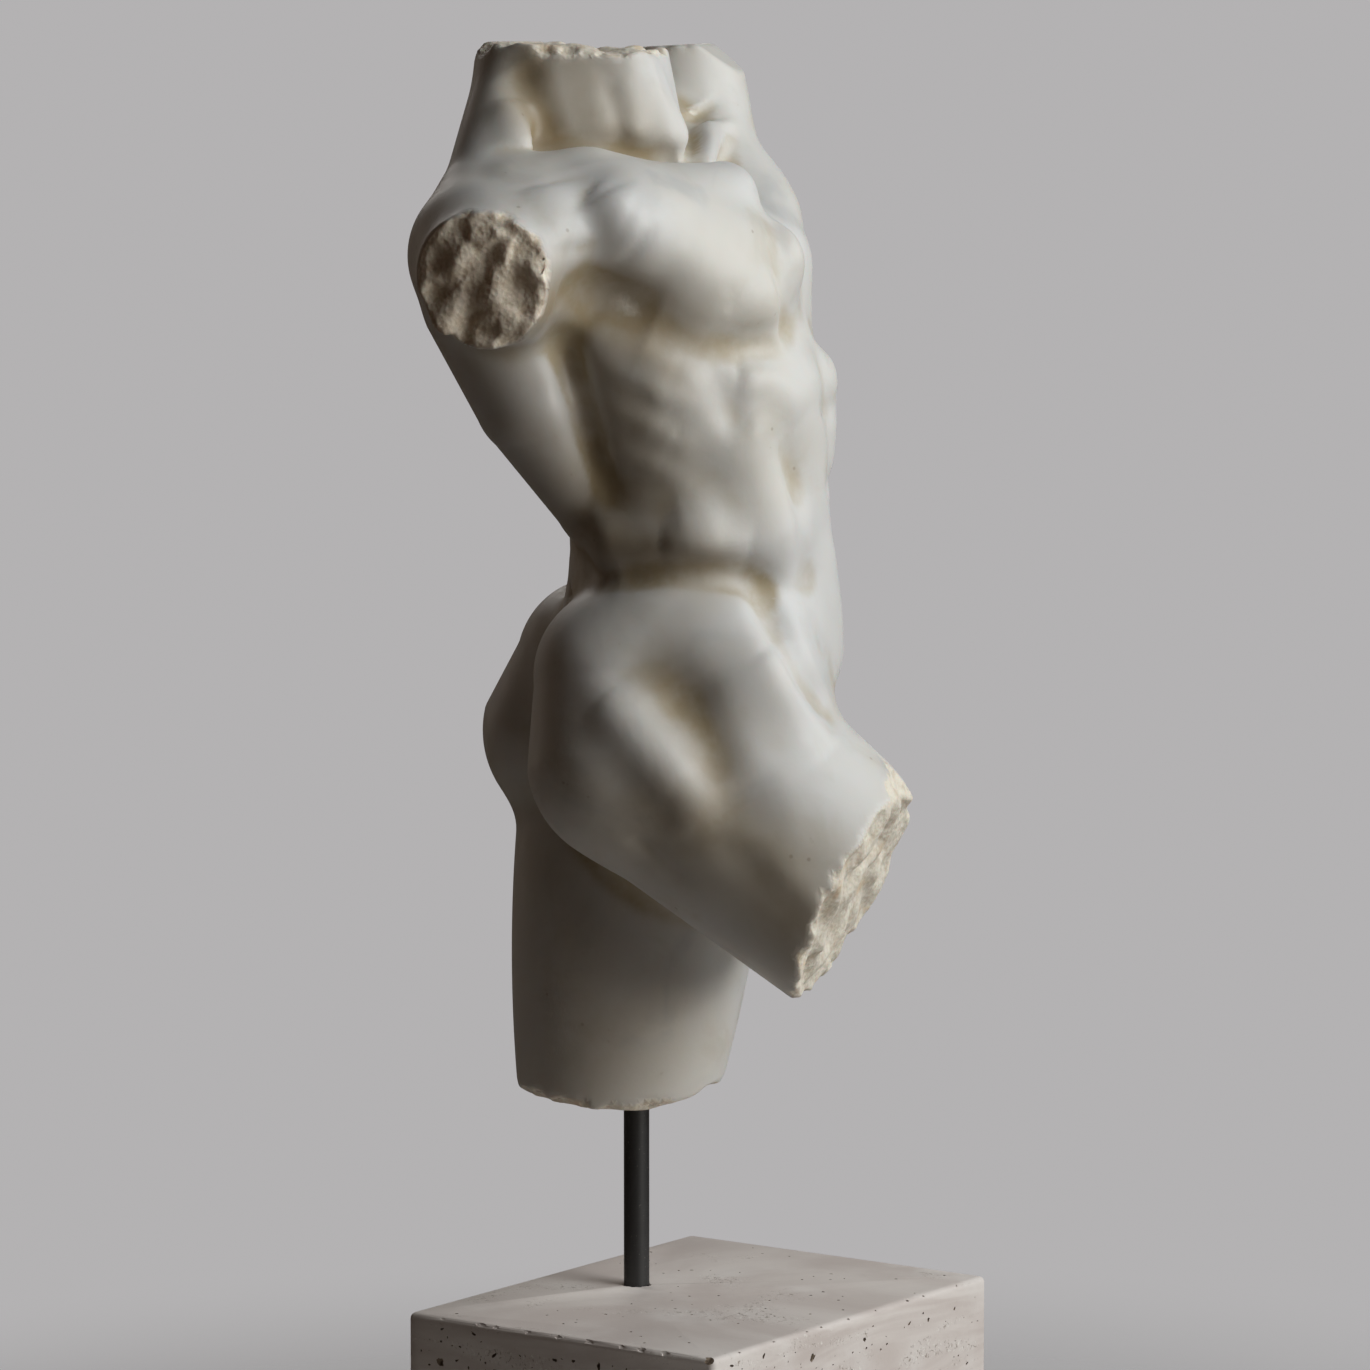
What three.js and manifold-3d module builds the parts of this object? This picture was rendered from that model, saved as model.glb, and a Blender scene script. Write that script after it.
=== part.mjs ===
// A broken male torso in white marble, held up by a steel rod on a travertine block.
// Millimetres, +Z up. The origin is the middle of the block's underside, X runs along the
// block's short side and Y along its long side.
import * as THREE from 'three';
import { mergeVertices } from 'three/addons/utils/BufferGeometryUtils.js';
import Module from 'manifold-3d';

// Driving dimensions
const TORSO_HEIGHT = 655; // underside of the standing leg to the cut top of the left arm
const TORSO_TURN = 35.5; // degrees that the torso is turned on the block
const PLINTH_WIDTH = 230;
const PLINTH_LENGTH = 300;
const PLINTH_HEIGHT = 180;
const PLINTH_EDGE = 4; // rounding of the block's edges
const PLINTH_CHIP = 8; // legs of the chip at the nearest corner
const ROD_DIAMETER = 16;
const ROD_SHOWN = 120; // length that shows between block and torso
const ROD_IN_TORSO = 120;
const ROD_IN_PLINTH = 60;
const ROD_FROM_MIDDLE = 50; // the rod stands this far behind the block's middle, along X
const BORE_CLEARANCE = 0.45; // between the rod and the walls and ends of its bores

const ROUND_SIDES = 32;
const NET_STEP = 2.0; // grid step of the torso's surface, in parts

// One part is a hundredth of the torso's height. The torso is described in parts, in its own
// frame: X to the right, Y away, Z up as the viewer sees it, and the rod's axis at X = Y = 0.
const PART = TORSO_HEIGHT / 100;

// The trunk's level sections: height, middle in X and Y, half depth, half width, and the turn
// of the front in degrees. The hips turn away from the viewer and the chest towards them.
const TRUNK = [
  [24, 4.5, -7, 7, 10, 13],
  [30, 4.5, -7, 10, 13, 13],
  [34, 4.6, -7.2, 11.8, 14.8, 13],
  [40, 5.0, -7.5, 13.3, 16, 13],
  [46, 5.8, -7.5, 12.9, 15.8, 9],
  [52, 6.0, -7.7, 12.2, 14.4, 4],
  [56, 5.8, -8, 11.7, 14.0, -2],
  [60, 5.6, -8, 12.2, 14.6, -8],
  [66, 4.8, -8, 13.4, 16.3, -14],
  [70, 4.0, -8, 13.8, 17.2, -17],
  [74, 2.9, -8, 13.6, 17.8, -19],
  [80, 0.8, -8, 13.0, 18.0, -19],
  [85, -1.5, -8, 11.6, 16.6, -19],
  [89, -3.2, -8, 9.5, 13.5, -19],
  [94, -4.5, -8, 7, 10, -19],
];
const TRUNK_TOP = TRUNK.at(-1)[0] - 3; // the trunk is rounded off above this height
const TRUNK_BOTTOM = TRUNK[0][0] + 3; // and below this one

// Limbs and muscles, each a tapered round body along a line, melted into the rest over `melt`.
// One with `hollow` is pressed in instead of laid on.
const MASSES = [
  { name: 'standing thigh', line: [[1.5, 1.5, 34], [-2.3, 0.5, -4]], r: [12, 8.8], belly: 1.2, melt: 4 },
  { name: 'raised thigh', line: [[6, -16, 33.5], [28.5, -21.4, 15.5]], r: [12.4, 10.4], melt: 4 },
  { name: 'left buttock', line: [[-3.2, 1, 41.6], [-4.8, 2, 35]], r: [8.2, 9.9], melt: 2 },
  { name: 'right buttock', line: [[-0.8, -16, 42], [0, -17.5, 34.5]], r: [8.6, 10], melt: 1.6 },
  { name: 'hip', line: [[3.5, -18, 47], [10, -20, 42]], r: [5.5, 6.5], melt: 4 },
  {
    name: 'hollow behind the hip',
    line: [[6.4, -34, 37], [8.4, -34.2, 31.5], [9.4, -33.8, 28]],
    r: [3, 4.2, 2.8],
    melt: 4.5,
    hollow: true,
  },
  {
    name: 'right flank',
    line: [[-1, -17.5, 55.5], [6, -19.5, 55.8], [12, -16.5, 54.8]],
    r: [3.2, 3.6, 3.4],
    melt: 3,
  },
  { name: 'left flank', line: [[-1, 3, 55], [6, 3.5, 55.5], [13, 1, 54]], r: [3.2, 3.4, 3.2], melt: 3 },
  { name: 'oblique', line: [[9.5, -19, 64], [11.8, -17.6, 56]], r: [3, 3.6], melt: 3 },
  {
    name: 'belly, right',
    line: [[13.4, -14.4, 68], [14.7, -11.6, 56], [16, -8.6, 44]],
    r: [3, 3, 2.8],
    melt: 3,
  },
  {
    name: 'belly, left',
    line: [[15, -8, 68], [14.5, -5.4, 56], [14.9, -2.2, 44]],
    r: [3, 3, 2.8],
    melt: 3,
  },
  {
    name: 'right side of the back',
    line: [[-12.5, -18, 77], [-8.8, -17.5, 68], [-3.5, -14, 58]],
    r: [7, 6, 4],
    melt: 2.2,
  },
  { name: 'left side of the back', line: [[-1, 5, 82], [-2.6, -2, 57]], r: [7, 3.5], melt: 4 },
  { name: 'right shoulder blade', line: [[-10, -12, 82], [-8, -9, 74]], r: [7.5, 6], melt: 4 },
  { name: 'left shoulder blade', line: [[-4, 4, 84], [-7, 1, 74]], r: [7, 5.5], melt: 4 },
  { name: 'right shoulder', line: [[-5, -20, 83.5], [-13, -23, 81]], r: [7, 7.5], melt: 2.6 },
  { name: 'right arm', line: [[-8, -20, 81], [-16.3, -37, 78]], r: [6.8, 6], melt: 2.6 },
  { name: 'right breast, upper', line: [[-2, -22.5, 84], [8, -13, 86]], r: [4.8, 3.4], melt: 3 },
  { name: 'right breast', line: [[0, -22.6, 83.6], [11.5, -14, 80]], r: [4.3, 4.2], melt: 3 },
  { name: 'right breast, lower', line: [[4.5, -20.4, 80], [9.4, -17.8, 76.6]], r: [3.8, 4.5], melt: 2.4 },
  { name: 'left breast', line: [[11.5, -5, 80], [10, 4, 84]], r: [5, 5], melt: 3 },
  { name: 'left shoulder', line: [[4.8, 7, 92.5], [10.2, 1.5, 84]], r: [5.3, 4.3], melt: 3 },
  { name: 'left arm', line: [[4.8, 9, 86], [4.6, 10, 106]], r: [6.6, 5], melt: 3 },
  { name: 'neck', line: [[-3, -8, 84], [-6.3, -8, 105]], r: [9, 8.2], melt: 2.5 },
  { name: 'right slope of the neck', line: [[-9.5, -10, 97], [-13.5, -19, 86.5]], r: [5.2, 4], melt: 3 },
  { name: 'left slope of the neck', line: [[-8, -5, 96], [0, 5, 90]], r: [5, 5], melt: 3 },
  { name: 'left shoulder to throat', line: [[1.5, -4, 88.3], [4, 4, 90]], r: [3.6, 3.6], melt: 3 },
  { name: 'neck cord', line: [[-3.5, -14.5, 103], [3.6, -11.4, 90.5]], r: [2.6, 2], melt: 1.6 },
  {
    name: 'right collarbone',
    line: [[4.8, -11, 87.1], [-4, -20, 88.4], [-11, -23, 87]],
    r: [1.6, 1.8, 1.8],
    melt: 2,
  },
  { name: 'left collarbone', line: [[6, -8, 89], [7, 2, 92.5]], r: [1.4, 1.6], melt: 1.5 },
  {
    name: 'hollow behind the collarbone',
    line: [[-9, -18.4, 90.4], [-3, -17.5, 90.2], [3.3, -13.9, 89.1]],
    r: [1.3, 1.7, 1.3],
    melt: 1.7,
    hollow: true,
  },
];

// Chisel strokes on the surface. `from` is the side they are seen from, in degrees round the
// torso, and `line` gives places across and up in that view. `deep` sinks, or raises when
// below zero, and `wide` is the stroke's half width.
const STROKES = [
  { name: 'shoulder groove', from: 0, line: [[-4.4, 89.2], [-3.5, 87.4], [-2.9, 85.4]],
    deep: 0.25, wide: 2.2 },
  { name: 'shoulder to breast', from: 0, line: [[-2.6, 86.6], [-1.2, 84.6], [0.6, 82.4]],
    deep: -0.9, wide: 2.2 },
  { name: 'swell of the right shoulder', from: 0, line: [[-8, 87.4], [-6.6, 84.6], [-5.6, 81.8]],
    deep: -0.9, wide: 2.4 },
  { name: 'fold under the right breast', from: 0,
    line: [[-6.5, 78.5], [-3, 77.8], [0.6, 76], [4, 73.7], [7.4, 72.3], [10.7, 72.4], [13.5, 73.9]],
    deep: 1.4, wide: 2 },
  { name: 'hollow under the arm', from: 0, line: [[-6.4, 77.4], [-2.6, 76.4], [1.6, 74.6]],
    deep: 1.5, wide: 2.5 },
  { name: 'swell of the right breast', from: 0, line: [[0.6, 83], [5.1, 80.5], [9.4, 77]],
    deep: -0.8, wide: 3.6 },
  { name: 'breastbone', from: 0, line: [[12.4, 84.4], [13.4, 81.3], [14, 77.7], [14.3, 73.5]],
    deep: 0.9, wide: 1.6 },
  { name: 'hollow of the neck', from: 0, line: [[-10.8, 98], [-9.5, 95], [-7.8, 91.5]],
    deep: 1.5, wide: 1.7 },
  { name: 'ridge of the neck', from: 0, line: [[-11.1, 95.3], [-10.4, 90.6]], deep: -0.8, wide: 2 },
  { name: 'groove beside the neck cord', from: 0, line: [[-2.6, 96.4], [-1.6, 94], [-1.1, 90.5]],
    deep: 0.7, wide: 1 },
  { name: 'pit of the throat', from: 0, line: [[5.1, 92.2], [5.5, 89.6]], deep: 1.6, wide: 1.3 },
  { name: 'hollow of the left shoulder', from: 0, line: [[5.7, 94.4], [7.6, 93.3]],
    deep: 1.2, wide: 2 },
  { name: 'crease in front of the back', from: 0,
    line: [[-6.9, 75.3], [-6, 71.6], [-5.1, 67.7], [-4, 64.2], [-3.1, 60.6]],
    deep: 1.3, wide: 1.4 },
  { name: 'edge of the ribs, right', from: 0, line: [[9.8, 70.5], [12.6, 69.2], [15.2, 65.8]],
    deep: -0.8, wide: 2 },
  { name: 'ribs to belly', from: 0, line: [[6.7, 71.1], [8.5, 67.6], [9.8, 64.3]],
    deep: 0.5, wide: 1.6 },
  { name: 'side of the belly, right', from: 0,
    line: [[13.3, 64], [14.5, 61], [15.5, 57.5], [15.8, 53.8], [16.7, 49.2]],
    deep: 0.75, wide: 1.6 },
  { name: 'furrow over the right hip', from: 0,
    line: [[-1.5, 51.4], [2.4, 52], [6.4, 52.1], [10, 51.5], [12, 49.6], [13.8, 46.1], [15.6, 42.5],
      [17.5, 39.3]],
    deep: 1.5, wide: 1.7 },
  { name: 'roll of the right flank', from: 0, line: [[2.4, 54.7], [6.4, 54.5], [10.4, 53.7]],
    deep: -0.6, wide: 2.2 },
  { name: 'swell of the right buttock', from: 0,
    line: [[-2.7, 41.2], [0.6, 37.6], [4.5, 33.3], [6.7, 29.7]], deep: -1.3, wide: 2.6 },
  { name: 'dip of the right hip', from: 0, line: [[4.2, 42.5], [6, 38.4], [7.6, 33.2]],
    deep: 0.6, wide: 2.8 },
  { name: 'swell of the right thigh', from: 0, line: [[11.8, 45.4], [14.2, 41.8], [17.8, 36]],
    deep: -0.7, wide: 3.2 },
  { name: 'middle of the belly', from: 90, line: [[-11.9, 72], [-11, 66], [-9.6, 60], [-7.4, 54]],
    deep: 0.5, wide: 1.3 },
  { name: 'navel', from: 90, line: [[-7.1, 53], [-6.9, 52]], deep: 1.3, wide: 0.9 },
  { name: 'edge of the ribs, left', from: 90, line: [[-8.6, 71.4], [-4.6, 68.8], [-0.6, 64.2]],
    deep: -0.25, wide: 1.8 },
  { name: 'fold under the left breast', from: 90,
    line: [[-10.4, 74.4], [-5, 72.8], [0.6, 74.2], [5, 79]], deep: 0.8, wide: 1.8 },
  { name: 'side of the belly, left', from: 80,
    line: [[-1.2, 65], [0, 58], [1, 51], [0.6, 44.6]], deep: 0.9, wide: 1.6 },
  { name: 'furrow over the left hip', from: 110,
    line: [[-6.4, 35], [-2.4, 39.5], [2.2, 45.2], [4.6, 49.8]], deep: 1.4, wide: 1.6 },
  { name: 'broken stump at the groin', from: 85, line: [[-2.6, 37.6], [-2.4, 34.4]],
    deep: -1.8, wide: 2.2 },
  { name: 'outer side of the left thigh', from: 165, line: [[-2.6, 30], [-3.4, 18], [-3.2, 6]],
    deep: 0.5, wide: 2.6 },
  { name: 'spine', from: 255, line: [[8, 86], [7, 78], [6.4, 70], [6, 61], [6.6, 52]],
    deep: 1.1, wide: 2.6 },
];

// Three fingers of muscle on the ribs of each side, with gaps between them on the right.
const RIB_PITCH = 3.7;
for (let i = 0; i < 3; i += 1) {
  const drop = RIB_PITCH * i;
  STROKES.push(
    { name: `right rib ${i + 1}`, from: 0,
      line: [[0.9 - 0.35 * i, 72.6 - drop], [3.9 - 0.35 * i, 70.9 - drop]], deep: -0.35, wide: 1.4 },
    { name: `gap under right rib ${i + 1}`, from: 0,
      line: [[2.8 - 0.4 * i, 70.6 - 1.1 * drop], [5.6 - 0.3 * i, 68.3 - 1.1 * drop]],
      deep: 0.35, wide: 1.4 },
    { name: `left rib ${i + 1}`, from: 130,
      line: [[-8, 71.6 - drop], [-4.6, 73.4 - drop], [-1, 75.8 - drop]],
      deep: -0.35, wide: 1.9 },
  );
}

// Two bands across the belly, each a little lower in the middle.
for (const [middle, height] of [[-11, 66.6], [-9.2, 59.4]]) {
  STROKES.push({ name: `band at ${height}`, from: 90,
    line: [[middle - 4.2, height + 0.4], [middle, height - 0.2], [middle + 4.2, height + 0.4]],
    deep: 0.4, wide: 1.2 });
}

// What the back has on both sides of the spine: `side` is 1 on the right and -1 on the left.
for (const side of [1, -1]) {
  const spine = (out, height) => 6.6 + (height - 52) * 0.035 + side * out;
  STROKES.push(
    { name: 'column of the back', from: 255,
      line: [[spine(4, 82), 82], [spine(4, 72), 72], [spine(3.8, 61), 61], [spine(3.6, 53), 53]],
      deep: -0.6, wide: 2.2 },
    { name: 'edge of the shoulder blade', from: 255,
      line: [[spine(6, 84), 84], [spine(6.8, 77), 77], [spine(10, 73), 73]],
      deep: 0.9, wide: 1.8 },
    { name: 'dimple over the hip', from: 250, line: [[8 + side * 4.4, 49.5], [8 + side * 4, 48.5]],
      deep: 0.8, wide: 1.6 },
  );
}

// Where the marble is broken or cut off: a point, the way the face looks, how far round the
// point it cuts, how uneven the face is, and how soft its rim.
const BREAKS = [
  { name: 'underside', at: [-2, 0, 0], facing: [-0.06, 0, -1], reach: 40, uneven: 0, rim: 0.4 },
  { name: 'underside, right', at: [5.2, 0, 1], facing: [0.32, 0, -0.95], reach: 9, uneven: 0.2,
    rim: 0.4 },
  { name: 'underside, left', at: [-10.4, 0, 0.7], facing: [-0.5, 0, -0.87], reach: 5, uneven: 0.2,
    rim: 0.4 },
  { name: 'right thigh', at: [20, -20, 22.2], facing: [0.861, -0.25, -0.443], reach: 26, uneven: 0.5,
    rim: 0.5 },
  { name: 'right thigh, top', at: [24.6, -20, 31.1], facing: [0.92, -0.15, 0.36], reach: 7,
    uneven: 0.4, rim: 0.5 },
  { name: 'right arm', at: [-14.1, -31, 78.6], facing: [-0.3, -0.94, -0.12], reach: 12, uneven: 0.5,
    rim: 0.5 },
  { name: 'neck', at: [-6, -8, 99.8], facing: [0.06, 0, 1], reach: 14, uneven: 0.35, rim: 0.5 },
  { name: 'left arm', at: [3, 10, 100], facing: [-0.05, 0, 1], reach: 12, uneven: 0, rim: 0.3 },
  { name: 'left arm, slope', at: [7.9, 10, 99.3], facing: [0.58, -0.1, 0.81], reach: 8, uneven: 0,
    rim: 0.3 },
];

// Smooth union and smooth intersection of two distances, melted over k.
function melt(a, b, k) {
  const h = Math.min(Math.max(0.5 + (0.5 * (b - a)) / k, 0), 1);
  return b + (a - b) * h - k * h * (1 - h);
}

function cutOff(a, b, k) {
  return -melt(-a, -b, k);
}

// Slopes of a table's columns at its rows, for a smooth curve through them.
function slopesOf(table) {
  return table.map((row, i) => {
    const below = table[Math.max(i - 1, 0)];
    const above = table[Math.min(i + 1, table.length - 1)];
    const down = row[0] - below[0];
    const up = above[0] - row[0];
    return row.map((value, column) => {
      if (down === 0) return (above[column] - value) / up;
      if (up === 0) return (value - below[column]) / down;
      const rise = ((above[column] - value) * down) / up;
      const fall = ((value - below[column]) * up) / down;
      return (rise + fall) / (up + down);
    });
  });
}

const TRUNK_SLOPES = slopesOf(TRUNK);

// The trunk's section at a height: middle X, middle Y, half depth, half width, turn.
function sectionAt(height) {
  const last = TRUNK.length - 1;
  const z = Math.min(Math.max(height, TRUNK[0][0]), TRUNK[last][0]);
  let i = 0;
  while (i < last - 1 && TRUNK[i + 1][0] < z) i += 1;
  const step = TRUNK[i + 1][0] - TRUNK[i][0];
  const t = (z - TRUNK[i][0]) / step;
  const s = 1 - t;
  return TRUNK[i].map((value, c) => value * (1 + 2 * t) * s * s
    + TRUNK_SLOPES[i][c] * step * t * s * s
    + TRUNK[i + 1][c] * t * t * (3 - 2 * t)
    - TRUNK_SLOPES[i + 1][c] * step * t * t * s);
}

function trunkDistance(x, y, z) {
  const [, middleX, middleY, depth, width, turn] = sectionAt(z);
  const c = Math.cos(THREE.MathUtils.degToRad(turn));
  const s = Math.sin(THREE.MathUtils.degToRad(turn));
  const front = (x - middleX) * c + (y - middleY) * s;
  const side = (x - middleX) * s - (y - middleY) * c;
  const near = Math.hypot(front / depth, side / width) + 1e-6;
  const slope = Math.hypot(front / depth ** 2, side / width ** 2) + 1e-6;
  const round = (near * (near - 1)) / slope;
  return cutOff(cutOff(round, z - TRUNK_TOP, 6), TRUNK_BOTTOM - z, 5);
}

// How far a point is from a stretch of line, squared, and how far along it.
function nearestOn(x, y, z, a, b) {
  const dx = b[0] - a[0];
  const dy = b[1] - a[1];
  const dz = b[2] - a[2];
  const along = ((x - a[0]) * dx + (y - a[1]) * dy + (z - a[2]) * dz) / (dx * dx + dy * dy + dz * dz);
  const t = Math.min(Math.max(along, 0), 1);
  const px = x - a[0] - t * dx;
  const py = y - a[1] - t * dy;
  const pz = z - a[2] - t * dz;
  return [px * px + py * py + pz * pz, t];
}

function massDistance(mass, x, y, z) {
  let nearest = Infinity;
  for (let i = 0; i + 1 < mass.line.length; i += 1) {
    const [squared, t] = nearestOn(x, y, z, mass.line[i], mass.line[i + 1]);
    const radius = mass.r[i] + (mass.r[i + 1] - mass.r[i]) * t + (mass.belly ?? 0) * 4 * t * (1 - t);
    nearest = Math.min(nearest, Math.sqrt(squared) - radius);
  }
  return nearest;
}

// The body before it is carved: below zero inside, about the distance in parts outside.
function roughBody(x, y, z) {
  let d = trunkDistance(x, y, z);
  for (const mass of MASSES) {
    const g = massDistance(mass, x, y, z);
    d = mass.hollow ? cutOff(d, -g, mass.melt) : melt(d, g, mass.melt);
  }
  return d;
}

// Lays a stroke's places on the body, by looking in from its side, and draws a smooth curve
// through them.
const LOOK_FROM = 60; // parts from the torso's frame, outside the body on every side
const LOOK_STEPS = 80;
const STROKE_DIVISIONS = 3; // straight stretches between two places

function laid(stroke) {
  const angle = THREE.MathUtils.degToRad(stroke.from);
  const across = new THREE.Vector3(Math.cos(angle), Math.sin(angle), 0);
  const inward = new THREE.Vector3(-Math.sin(angle), Math.cos(angle), 0);
  const places = [];
  for (const [u, v] of stroke.line) {
    const p = across.clone().multiplyScalar(u).addScaledVector(inward, -LOOK_FROM);
    p.z = v;
    for (let i = 0; i < LOOK_STEPS; i += 1) {
      const d = roughBody(p.x, p.y, p.z);
      if (Math.abs(d) < 0.01) break;
      p.addScaledVector(inward, 0.8 * d);
    }
    places.push(p);
  }
  const curve = new THREE.CatmullRomCurve3(places, false, 'catmullrom', 0.5);
  const points = [];
  const count = STROKE_DIVISIONS * (places.length - 1);
  for (let i = 0; i <= count; i += 1) points.push(curve.getPoint(i / count).toArray());
  const box = new THREE.Box3().setFromPoints(places).expandByScalar(3 * stroke.wide);
  return { ...stroke, points, box };
}

const LAID_STROKES = STROKES.map(laid);

// What a stroke takes off at a point: deepest on its curve, fading to both ends.
function strokeDepth(stroke, x, y, z) {
  const { min, max } = stroke.box;
  if (x < min.x || x > max.x || y < min.y || y > max.y || z < min.z || z > max.z) return 0;
  const { points } = stroke;
  let nearest = Infinity;
  let along = 0;
  for (let i = 0; i + 1 < points.length; i += 1) {
    const [squared, t] = nearestOn(x, y, z, points[i], points[i + 1]);
    if (squared < nearest) {
      nearest = squared;
      along = (i + t) / (points.length - 1);
    }
  }
  const fade = 1 - 0.8 * (2 * along - 1) ** 4;
  return stroke.deep * fade * Math.exp(-nearest / stroke.wide ** 2);
}

// The uneven face of broken marble, between about -1 and 1: waves bent by other waves, so
// that no pattern repeats on a face.
function unevenness(x, y, z) {
  const bentX = x + 1.6 * Math.sin(0.53 * y + 0.31 * z + 1);
  const bentY = y + 1.6 * Math.sin(0.47 * z + 0.37 * x + 2);
  const bentZ = z + 1.6 * Math.sin(0.61 * x + 0.29 * y + 3);
  return 0.4 * (Math.sin(1.3 * bentX) + Math.sin(1.1 * bentY + 1) + Math.sin(1.2 * bentZ + 2));
}

// The finished body: rough body, strokes, then breaks.
function body(x, y, z) {
  let d = roughBody(x, y, z);
  for (const stroke of LAID_STROKES) d += strokeDepth(stroke, x, y, z);
  for (const face of BREAKS) {
    const [nx, ny, nz] = face.facing;
    const [px, py, pz] = [x - face.at[0], y - face.at[1], z - face.at[2]];
    const plane = (px * nx + py * ny + pz * nz) / Math.hypot(nx, ny, nz);
    const within = face.reach - Math.hypot(px, py, pz);
    const depth = plane + face.uneven * unevenness(x, y, z);
    d = cutOff(d, Math.min(depth, within), face.rim);
  }
  return d;
}

const CORNERS = [0, 1, 2, 3, 4, 5, 6, 7].map((bits) => [bits & 1, (bits >> 1) & 1, bits >> 2]);
const CELL_EDGES = CORNERS.flatMap((a, i) => CORNERS
  .map((b, j) => [i, j, Math.abs(a[0] - b[0]) + Math.abs(a[1] - b[1]) + Math.abs(a[2] - b[2])])
  .filter(([from, to, apart]) => from < to && apart === 1));

// Moves a point onto the surface where the field is zero.
function settle(field, p, turns) {
  const e = 0.02;
  for (let i = 0; i < turns; i += 1) {
    const [x, y, z] = p;
    const d = field(x, y, z);
    const slope = [
      (field(x + e, y, z) - field(x - e, y, z)) / (2 * e),
      (field(x, y + e, z) - field(x, y - e, z)) / (2 * e),
      (field(x, y, z + e) - field(x, y, z - e)) / (2 * e),
    ];
    const squared = slope[0] ** 2 + slope[1] ** 2 + slope[2] ** 2 + 1e-3;
    const step = Math.min(Math.max(d / squared, -1), 1);
    for (let k = 0; k < 3; k += 1) p[k] -= slope[k] * step;
  }
  return p;
}

// Splits each four-sided face along its shorter diagonal, or along the other one where two of
// its corners are already joined by an edge.
function splitRings(rings, vertices) {
  const key = (p, q) => `${Math.min(p, q)} ${Math.max(p, q)}`;
  const apart = (p, q) => Math.hypot(...vertices[p].map((value, k) => value - vertices[q][k]));
  const joined = new Set(rings.flatMap((ring) => ring.map((p, i) => key(p, ring[(i + 1) % 4]))));
  return rings.flatMap(([a, b, c, d]) => {
    const shorter = apart(a, c) < apart(b, d);
    const first = (shorter || joined.has(key(b, d))) && !joined.has(key(a, c));
    joined.add(first ? key(a, c) : key(b, d));
    return first ? [a, b, c, a, c, d] : [b, c, d, b, d, a];
  });
}

// Where the corners of a grid square are in and out by turns, the surface would pinch to an
// edge, so the corner nearest the surface changes side.
const SQUARE_SIDES = [[[1, 0, 0], [0, 1, 0]], [[0, 1, 0], [0, 0, 1]], [[0, 0, 1], [1, 0, 0]]];
function unpinch(values, size, index) {
  let changed = true;
  while (changed) {
    changed = false;
    for (let i = 0; i + 1 < size[0]; i += 1) {
      for (let j = 0; j + 1 < size[1]; j += 1) {
        for (let k = 0; k + 1 < size[2]; k += 1) {
          for (const [a, b] of SQUARE_SIDES) {
            const square = [[0, 0], [1, 0], [1, 1], [0, 1]].map(([p, q]) => index(
              i + p * a[0] + q * b[0],
              j + p * a[1] + q * b[1],
              k + p * a[2] + q * b[2],
            ));
            const inside = square.map((corner) => values[corner] < 0);
            if (inside[0] === inside[1] || inside[0] !== inside[2] || inside[1] !== inside[3]) continue;
            const weakest = square.reduce((p, q) => (Math.abs(values[p]) < Math.abs(values[q]) ? p : q));
            values[weakest] = values[weakest] < 0 ? 1e-3 : -1e-3;
            changed = true;
          }
        }
      }
    }
  }
}

const CELL_RIM = 0.04; // a vertex stays this share of a cell inside it

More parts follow.
